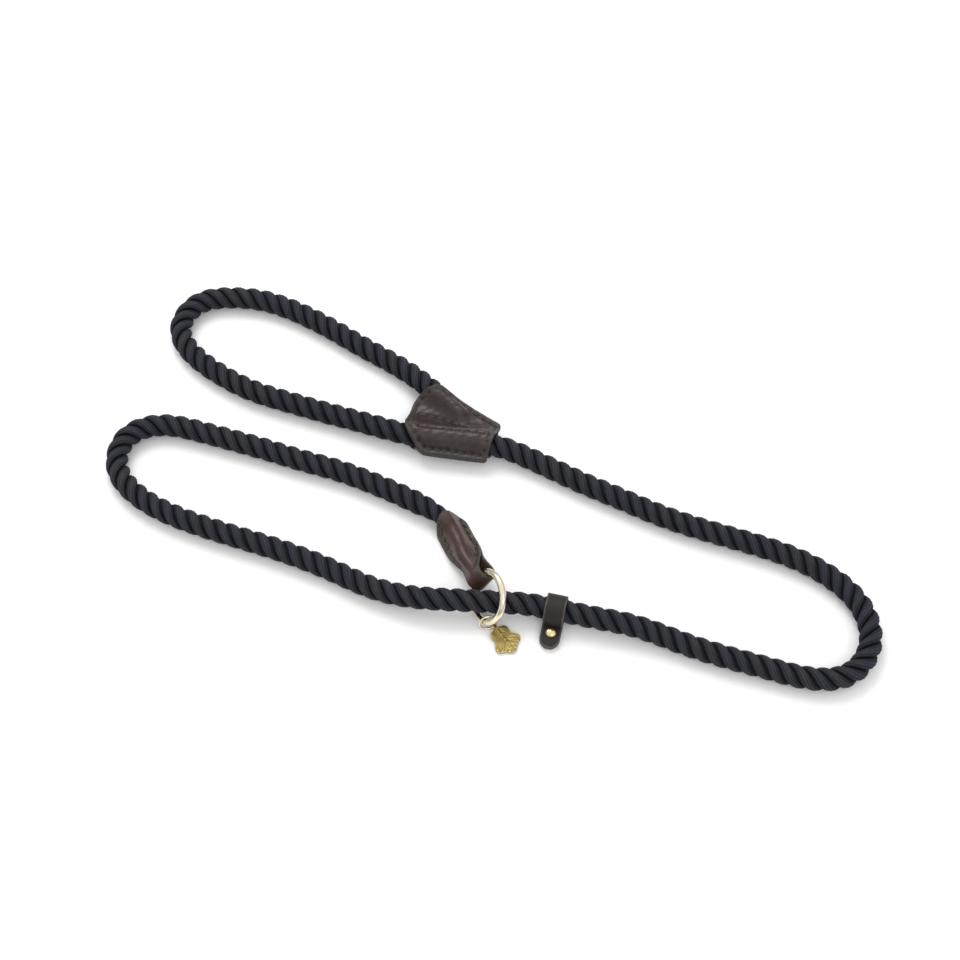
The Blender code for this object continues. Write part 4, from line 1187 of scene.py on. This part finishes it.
def make_rivet():
    brass = metal_material("bright_brass", (0.86, 0.72, 0.36), (0.74, 0.60, 0.27), 0.16, 0.3)
    place = stop_point(RIVET_AT, 0, 0)
    top = STOP_UNDER_Z + 1.5 * STOP_LEATHER + 2 * GAP
    skirt = [(0.0, top), (RIVET_CAP_R - 0.0003, top), (RIVET_CAP_R, top + 0.0001),
             (RIVET_CAP_R, top + 0.0004), (RIVET_CAP_R - 0.00012, top + 0.00055)]
    dome = [((RIVET_CAP_R - 0.00020) * math.cos(a), top + 0.0006 + 0.0010 * math.sin(a))
            for a in np.radians(np.linspace(0, 84, 12))]
    foot = STOP_UNDER_Z - STOP_LEATHER / 2 - GAP
    base = [(0.0, 0.0), (0.0023, 0.0), (0.00255, 0.00008), (0.0026, 0.0002), (0.0026, foot), (0.0, foot)]
    cap = [*skirt, *dome, (0.0, top + 0.0016)]
    for name, profile, node_name in (("domed_rivet_cap", cap, "stop_rivet_cap"),
                                     ("rivet_base", base, "stop_rivet_back")):
        solid = turned(profile, place, Vector((0, 0, 1)), Vector((1, 0, 0)))
        stands_for(mesh_piece(name, *solid, brass, sharp=40), "stop", "rivet", node_name)


# ---- hidden twine on the rope's ends ------------------------------------------------------------
TWINE_R = 0.0003


def wound_twine(name, start, end, material, body, node_name):
    """Twine wound close round the rope between two distances along it, as one ribbed band."""
    places = np.arange(start, end, TWINE_R / 4)
    centres = read_at(ROPE_LINE, places)
    axis = Vector(centres[-1] - centres[0]).normalized()
    turn = frame_of(axis, Vector((0, 0, 1)))
    sides = 40
    points = []
    for place, centre in zip(places, centres):
        for j in range(sides):
            a = 2 * math.pi * j / sides
            phase = math.pi * ((place - start) / (2 * TWINE_R) - j / sides)
            radius = rope_radius(place) + TWINE_R * (0.4 + 1.1 * abs(math.sin(phase)))
            points.append(Vector(centre) + turn @ Vector((math.cos(a), math.sin(a), 0)) * float(radius))
    piece = mesh_piece(name, points, tube_faces(len(places), sides), material)
    stands_for(piece, body, "whipping", node_name)


def make_whippings():
    twine = thread_material("whipping_twine", (0.22, 0.19, 0.14), (0.42, 0.38, 0.30))
    wound_twine("wound_twine_handle_end", 0.0010, 0.0080, twine, "lead_body", "handle_end_whipping")
    wound_twine("wound_twine_slip_end", ROPE_LENGTH - 0.0065, ROPE_LENGTH - 0.0010, twine, "slip_end",
                "slip_end_whipping")


make_camera()
make_studio()
make_ropes()
brown_thread = thread_material("brown_waxed_thread", (0.018, 0.012, 0.009), (0.052, 0.035, 0.027))
make_cover(brown_thread)
make_tab(brown_thread)
make_rings()
make_charm()
make_stop()
make_rivet()
make_whippings()
